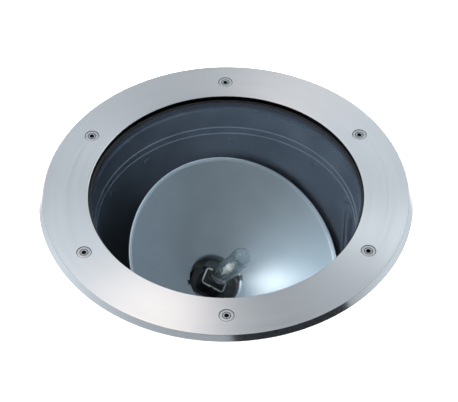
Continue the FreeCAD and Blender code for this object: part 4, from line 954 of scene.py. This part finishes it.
@dataclass
class LampTube:
    """Quartz capsule: drawn tube with a domed tip and nib above, a flat pinch below.

    All in millimetres, heights from the tilt axis along the beam.
    """

    radius: float = 9.5
    wall: float = 1.1
    tip: float = 50.0
    shoulder: float = -14.0
    shoulder_drop: float = 8.0
    """Height over which the round tube turns into the flat pinch."""
    pinch_foot: float = -32.2
    pinch_rings: Sequence[float] = (-26, -22.5, -20.5, -19, -17.5, -16, -14.5, -13)
    pinch_half_length: float = 7.5
    pinch_half_width: float = 2.2
    ripple: float = 0.10
    ripple_count: int = 26

    def mesh(self, place: Matrix) -> bpy.types.Mesh:
        """Draw the glass as an outer and an inner skin.

        Args:
            place: the lamp's place.

        Returns:
            The mesh.
        """
        turning = Turning("lamp_tube", steps=64, shape=self.pinched)
        crown = self.tip - self.radius
        bore = self.radius - self.wall
        outer = [(0, self.pinch_foot), (self.radius, self.pinch_foot)]
        outer += [(self.radius, height) for height in self.pinch_rings]
        outer += self.rippled(self.radius, -10.0, crown) + arc((0, crown), self.radius, 0, 84, 12)[:-1]
        outer += [(1.5, self.tip - 0.1), (1.1, self.tip + 0.7), (0.6, self.tip + 1.05), (0, self.tip + 1.1)]
        turning.spin(outer)
        inner = [(0, -17.0), (4.0, -16.6), (6.6, -15.2), (8.0, -13.4), (bore, -11.5)]
        inner += self.rippled(bore, -9.0, crown) + arc((0, crown), bore, 0, 90, 12)[:-1]
        turning.spin(inner + [(0, crown + bore)], inside=True)
        return turning.finish(place, math.radians(60))

    def rippled(self, radius: float, foot: float, top: float) -> list[Span]:
        """Points up the tube, whose drawn wall wanders a little.

        Args:
            radius: the wall's mean radius.
            foot: height of the first point.
            top: height just past the last.

        Returns:
            The points in order.
        """
        heights = [foot + (top - foot) * step / self.ripple_count for step in range(self.ripple_count)]
        return [(radius + self.ripple * math.sin(0.55 * height) * math.sin(0.21 * height + 1.0), height)
                for height in heights]

    def pinched(self, radius: float, height: float, angle: float) -> Span:
        """Flatten the tube into its pinch below the shoulder.

        Args:
            radius: the ring's radius.
            height: its height.
            angle: where the point is on it.

        Returns:
            Both coordinates of the point.
        """
        x, y = radius * math.cos(angle), radius * math.sin(angle)
        drop = min(1.0, max(0.0, (self.shoulder - height) / self.shoulder_drop))
        ease = drop * drop * (3 - 2 * drop)
        flat_x = self.pinch_half_length / self.radius * x
        flat_y = max(-self.pinch_half_width, min(self.pinch_half_width, y * 0.6))
        return (x + (flat_x - x) * ease, y + (flat_y - y) * ease)


@dataclass
class SpunBowl:
    """The reflector: the same parabola as its solid, its edge rolled into a bead.

    All in millimetres, heights from the tilt axis along the beam.
    """

    focal: float = 43.2
    vertex: float = -35.5
    wall: float = 1.8
    gauge: float = 1.2
    """Thickness of the neck's sheet."""
    neck: float = 25.5
    neck_foot: float = -44.0
    roll: float = 29.5
    face_radius: float = 102.6
    """Radius at which the reflecting face turns into the rim."""
    edge_radius: float = 1.0
    rim_radius: float = 105.6
    rim_height: float = 26.3
    notch_bearing: float = math.radians(60)
    notch: Triple = (58.0, 5.0, 16.0)
    notch_lift: float = 4.0

    def height(self, radius: float, drop: float = 0.0) -> float:
        """Height of the reflecting face, or of the skin a given drop below it."""
        return radius ** 2 / (4 * self.focal) + self.vertex - drop

    def face(self, start: float, end: float, drop: float, count: int) -> list[Span]:
        """Points along the parabola between two radii.

        Args:
            start: first radius.
            end: last radius.
            drop: how far below the reflecting face they are.
            count: number of points.

        Returns:
            The points in order.
        """
        radii = [start + (end - start) * step / (count - 1) for step in range(count)]
        return [(radius, self.height(radius, drop)) for radius in radii]

    def mesh(self, place: Matrix) -> bpy.types.Mesh:
        """Spin the bowl and cut its two notches.

        Args:
            place: the bowl's place.

        Returns:
            The mesh.
        """
        turning = Turning("bowl", steps=192)
        outer_neck = self.neck + self.gauge
        edge = (self.rim_radius - self.edge_radius, self.rim_height - self.edge_radius)
        profile = self.face(self.neck + 0.6, self.face_radius, 0, 48)
        profile += [(103.0, 25.5), (103.5, 25.7)]
        profile += arc(edge, self.edge_radius, 150, -90, 12)
        profile += [(103.9, 24.3), (self.face_radius, 24.0)]
        profile += self.face(self.face_radius - 1, outer_neck + 0.6, self.wall, 42)
        foot, seat = self.neck_foot, self.neck_foot + self.gauge
        profile += [(outer_neck, self.height(outer_neck, self.wall) - 0.5), (outer_neck, foot + 1.9),
                    (outer_neck + 0.7, seat), (self.roll, seat), (self.roll, foot), (self.neck + 0.8, foot),
                    (self.neck, foot + 0.8), (self.neck, self.height(self.neck) - 0.6)]
        turning.spin(profile, closed=True)
        plain = add_object("bowl", turning.finish(sharp=math.radians(50)))
        cutter = add_object("notch", self.notch_block())
        cut = plain.modifiers.new("notch", "BOOLEAN")
        cut.object, cut.operation, cut.solver = cutter, "DIFFERENCE", "EXACT"
        mesh = settled(plain)
        bpy.data.objects.remove(cutter)
        mesh.transform(place)
        return mesh

    def notch_block(self) -> bpy.types.Mesh:
        """Block that cuts both notches at once, straight across the neck.

        Returns:
            Its mesh.
        """
        length, width, depth = self.notch
        work = bmesh.new()
        bmesh.ops.create_cube(work, size=1.0)
        lift = self.neck_foot + self.notch_lift + depth / 2
        grow = Matrix.Diagonal((length * MM, width * MM, depth * MM, 1.0))
        turn = Matrix.Rotation(self.notch_bearing, 4, "Z")
        work.transform(turn @ Matrix.Translation((0, 0, lift * MM)) @ grow)
        return plain_mesh("notch", work)


def swung(first: Vector, second: Vector, angle: float) -> tuple[Vector, Vector]:
    """Turn two square directions together, the first towards the second.

    Args:
        first: one direction.
        second: the other.
        angle: how far, in radians.

    Returns:
        Both, turned.
    """
    along, across = math.cos(angle), math.sin(angle)
    return (first * along + second * across, second * along - first * across)


@dataclass
class Camera:
    """The photograph's camera, looking down at the middle of the ring's top face."""

    target: Vector
    elevation: float = 46.83
    distance: float = 1.5892
    yaw: float = 0.10
    pitch: float = -0.31
    roll: float = -0.29
    focal_pixels: float = 1750.7
    frame_width: int = 458
    sensor: float = 36.0

    def build(self) -> None:
        """Place the camera and make it the scene's."""
        rise = math.radians(self.elevation)
        back = Vector((0, -math.cos(rise), math.sin(rise)))
        forward, right = -back, Vector((1, 0, 0))
        right, up = swung(right, right.cross(forward), math.radians(self.roll))
        forward, right = swung(forward, right, math.radians(self.yaw))
        forward, up = swung(forward, up, math.radians(self.pitch))
        lens = bpy.data.cameras.new("camera")
        lens.sensor_width = self.sensor
        lens.lens = self.focal_pixels / self.frame_width * self.sensor
        eye = add_object("camera", lens)
        turned = Matrix((right, up, -forward)).transposed().to_4x4()
        eye.matrix_world = Matrix.Translation(self.target + back * self.distance) @ turned
        bpy.context.scene.camera = eye


@dataclass(frozen=True)
class Softbox:
    """One area lamp, placed by its bearing and height over the light's middle."""

    name: str
    azimuth: float
    elevation: float
    distance: float
    size: Span
    watts: float
    colour: str = "FFFFFF"
    mirrored: bool = True
    """Whether mirrors show the lamp itself, also those behind glass."""

    def build(self, target: Vector) -> None:
        """Hang the lamp and point it at the target.

        Args:
            target: the point that it faces.
        """
        data = bpy.data.lights.new(self.name, "AREA")
        data.shape = "RECTANGLE"
        data.size, data.size_y = self.size
        data.energy = self.watts
        data.color = linear(self.colour)[:3]
        lamp = add_object(self.name, data)
        bearing, rise = math.radians(self.azimuth), math.radians(self.elevation)
        way = Vector((math.cos(rise) * math.cos(bearing), math.cos(rise) * math.sin(bearing), math.sin(rise)))
        lamp.location = target + way * self.distance
        lamp.rotation_mode = "QUATERNION"
        lamp.rotation_quaternion = way.to_track_quat("Z", "Y")
        lamp.visible_glossy = self.mirrored
        lamp.visible_transmission = self.mirrored


def flat_board(name: str, width: float, height: float) -> bpy.types.Mesh:
    """Make a flat rectangle round the origin.

    Args:
        name: the mesh's name.
        width: its size along X.
        height: its size along Y.

    Returns:
        The mesh.
    """
    x, y = width / 2, height / 2
    mesh = bpy.data.meshes.new(name)
    mesh.from_pydata([(-x, -y, 0), (x, -y, 0), (x, y, 0), (-x, y, 0)], [], [(0, 1, 2, 3)])
    return mesh


def on_stage(mesh: bpy.types.Mesh, surface: bpy.types.Material) -> bpy.types.Object:
    """Put a mesh of the studio into the scene.

    Args:
        mesh: what to show.
        surface: its material.

    Returns:
        The stage object.
    """
    mesh.materials.append(surface)
    item = add_object(mesh.name, mesh)
    return item


@dataclass(frozen=True)
class Card:
    """Black card that only mirrors see; it faces the light."""

    middle: Triple
    width: float
    height: float

    def build(self, target: Vector, black: bpy.types.Material) -> None:
        """Hang the card.

        Args:
            target: the point that it faces.
            black: its material.
        """
        board = on_stage(flat_board("card", self.width, self.height), black)
        middle = Vector(self.middle)
        turned = (middle - target).to_track_quat("Z", "Y").to_matrix().to_4x4()
        board.matrix_world = Matrix.Translation(middle) @ turned
        board.visible_camera = False
        board.visible_diffuse = False
        board.visible_shadow = False


@dataclass
class Studio:
    """White floor, the slab that the light is sunk in, the world, the lamps and black cards."""

    ring_radius: float
    ring_foot: float
    slab_front: float = 0.26
    slab_back: float = 0.19
    slab_side: float = 0.215
    slab_thickness: float = 4 * MM
    slab_gap: float = 0.2 * MM
    """Gap between the ring and the slab under it."""
    slab_overlap: float = 5 * MM
    """How far the slab reaches under the ring."""
    slab_steps: int = 96
    floor_width: float = 12.0
    board_glow: float = 0.75
    """What the floor and the slab add to their own shade for the camera, so that they show white."""
    sight: Triple = (0.0, -0.684, 0.729)
    """From the light to the photograph's camera."""
    flag: Span = (0.06, 0.13)
    """Slopes at which the dark flag that the glass mirrors begins to fade, and where it ends."""
    flag_shade: float = 0.03
    steep: Span = (0.72, 0.95)
    """Slopes at which what the ring's bevel mirrors begins, and where it is full."""
    steep_shade: float = 0.7
    panel_strength: float = 1.7
    panels: Sequence[Span] = (
        (0, 0.70), (15, 0.76), (30, 0.88), (50, 0.90), (70, 0.80), (90, 0.78), (110, 0.92), (125, 0.92),
        (145, 0.86), (165, 0.36), (180, 0.56), (195, 0.82), (210, 1.00), (230, 0.66), (250, 0.46),
        (270, 0.46), (290, 0.20), (305, 0.34), (325, 0.86), (345, 0.82))
    """Bearings of the light panels round the mirror direction, each with its shade."""
    softboxes: Sequence[Softbox] = (
        Softbox("key", 184, 70, 1.0, (0.55, 0.55), 4.0, "FFE9DC"),
        Softbox("fill_right", 25, 35, 1.5, (0.8, 0.6), 4.0),
        Softbox("front", -118, 40, 1.8, (1.0, 0.5), 42.0, mirrored=False))
    cards: Sequence[Card] = (
        Card((0.20, -0.33, 0.51), 0.42, 0.22), Card((0.11, -0.11, 0.59), 0.11, 0.11),
        Card((0.43, 0.0, 0.82), 0.36, 0.30))

    def build(self, target: Vector) -> None:
        """Set everything up round the light.

        Args:
            target: the point that the lamps face.
        """
        self.world()
        white = self.white_board()
        on_stage(flat_board("floor", self.floor_width, self.floor_width), white)
        self.slab(white)
        for softbox in self.softboxes:
            softbox.build(target)
        black = Coating("studio_black", "1C1F23", 0.0, 1.0).material
        for card in self.cards:
            card.build(target, black)

    def world(self) -> None:
        """White to the camera; mirrors see light panels all round, and the glass sees a dark flag."""
        world = bpy.data.worlds.new("studio")
        bpy.context.scene.world = world
        world.use_nodes = True
        drawing = Drawing(world.node_tree)
        tree = drawing.tree
        place = node(tree, "ShaderNodeTexCoord").outputs["Generated"]
        halfway = drawing.vector("ADD", place, self.sight)
        x, y, _ = drawing.split(halfway)
        turn = drawing.between(drawing.math("ARCTAN2", y, x), 0, 1, -math.pi, math.pi)
        panels = node(tree, "ShaderNodeValToRGB", sockets={"Fac": turn})
        self.fill_ramp(panels.color_ramp)
        _, reach, height = drawing.axial(halfway)
        slope = drawing.math("DIVIDE", reach, height)
        flag = drawing.between(slope, self.flag_shade, self.panel_strength, *self.flag)
        lit = drawing.math("MULTIPLY", panels.outputs["Color"], flag)
        shade = drawing.math("MULTIPLY", lit, drawing.between(slope, 1.0, self.steep_shade, *self.steep))
        around = node(tree, "ShaderNodeBackground", sockets={"Color": linear("EEF4FA"), "Strength": shade})
        white = node(tree, "ShaderNodeBackground", sockets={"Color": linear("FFFFFF"), "Strength": 1.0})
        path = node(tree, "ShaderNodeLightPath")
        mixed = node(tree, "ShaderNodeMixShader", sockets={
            0: path.outputs["Is Camera Ray"], 1: around.outputs[0], 2: white.outputs[0]})
        node(tree, "ShaderNodeOutputWorld", sockets={"Surface": mixed.outputs[0]})

    def fill_ramp(self, ramp: bpy.types.ColorRamp) -> None:
        """Write the panels' shades round the mirror direction into a ramp.

        Args:
            ramp: its start and its end are both straight behind.
        """
        ramp.interpolation = "B_SPLINE"
        half = WHOLE_TURN / 2
        stops = sorted(((math.radians(bearing) + half) % WHOLE_TURN / WHOLE_TURN, shade)
                       for bearing, shade in self.panels)
        while len(ramp.elements) < len(stops):
            ramp.elements.new(1.0)
        for element, (position, shade) in zip(ramp.elements, stops):
            element.position = position
            element.color = (shade, shade, shade, 1.0)

    def white_board(self) -> bpy.types.Material:
        """Matt white board that also shows white to the camera.

        Returns:
            The material of the floor and the slab.
        """
        coating = Coating("studio_white", "F2F2F2", 0.0, 0.9)
        path = node(coating.tree, "ShaderNodeLightPath")
        strength = coating.math("MULTIPLY", path.outputs["Is Camera Ray"], self.board_glow)
        glow = node(coating.tree, "ShaderNodeEmission", sockets={
            "Color": linear("FFFFFF"), "Strength": strength})
        both = node(coating.tree, "ShaderNodeAddShader", sockets={
            0: coating.shader.outputs["BSDF"], 1: glow.outputs["Emission"]})
        coating.surface(both.outputs["Shader"])
        return coating.material

    def slab(self, white: bpy.types.Material) -> None:
        """Lay the thin paving slab just under the ring, with a round hole for the pot.

        Args:
            white: its material.
        """
        top = self.ring_foot - self.slab_gap
        foot = top - self.slab_thickness
        hole = self.ring_radius - self.slab_overlap
        work = bmesh.new()
        loops = []
        for height, is_hole in ((top, True), (top, False), (foot, False), (foot, True)):
            loop = []
            for step in range(self.slab_steps):
                angle = WHOLE_TURN * step / self.slab_steps
                x, y = math.cos(angle), math.sin(angle)
                reach = hole if is_hole else self.edge_reach(x, y)
                loop.append(work.verts.new((x * reach, y * reach, height)))
            loops.append(loop)
        for near, far in zip(loops, loops[1:] + loops[:1]):
            for step in range(self.slab_steps):
                after = (step + 1) % self.slab_steps
                work.faces.new((near[step], far[step], far[after], near[after]))
        board = on_stage(plain_mesh("slab", work), white)
        board.visible_shadow = False
        board.visible_diffuse = False

    def edge_reach(self, x: float, y: float) -> float:
        """Distance from the middle to the slab's edge in the direction x, y."""
        end = self.slab_back if y > 0 else self.slab_front
        return 1 / max(abs(x) / self.slab_side, abs(y) / end)


def main() -> None:
    """Build the finishes, the pieces and the studio."""
    logging.basicConfig(level=logging.INFO, format="%(name)s: %(message)s")
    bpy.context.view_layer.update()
    ring_low, ring_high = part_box("trim_ring")
    _, screw_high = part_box("trim_screws")
    _, glass_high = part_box("glass")
    bolt_low, bolt_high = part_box("tilt_bolts")
    optic = OpticFrame(pivot=(bolt_low + bolt_high) / 2)
    finishes = FinishBook(glass_edge=glass_high.x - GROUND_EDGE, ring_face=ring_high.z,
                          bevel=ring_high.x - RING_BEVEL, optic=optic)
    finishes.build()
    finishes.dress_frame()
    screws = CoverScrews(circle=screw_high.y - HEAD_RADIUS, head_top=screw_high.z)
    pieces = (
        Piece("cover_screws", screws.mesh(finishes), Body.COVER, "stainless_screws", ["trim_screws"]),
        Piece("lamp_tube", LampTube().mesh(optic.lamp), Body.LAMP, "quartz", ["lamp_envelope"]),
        Piece("spun_bowl", SpunBowl().mesh(optic.bowl), Body.OPTIC, "spun_aluminium", ["reflector"]),
    )
    for piece in pieces:
        piece.show(finishes)
    top = Vector((0, 0, ring_high.z))
    Camera(target=top).build()
    Studio(ring_radius=ring_high.x, ring_foot=ring_low.z).build(top)
    bpy.context.scene.view_settings.view_transform = "Standard"


if __name__ == "__main__":
    main()
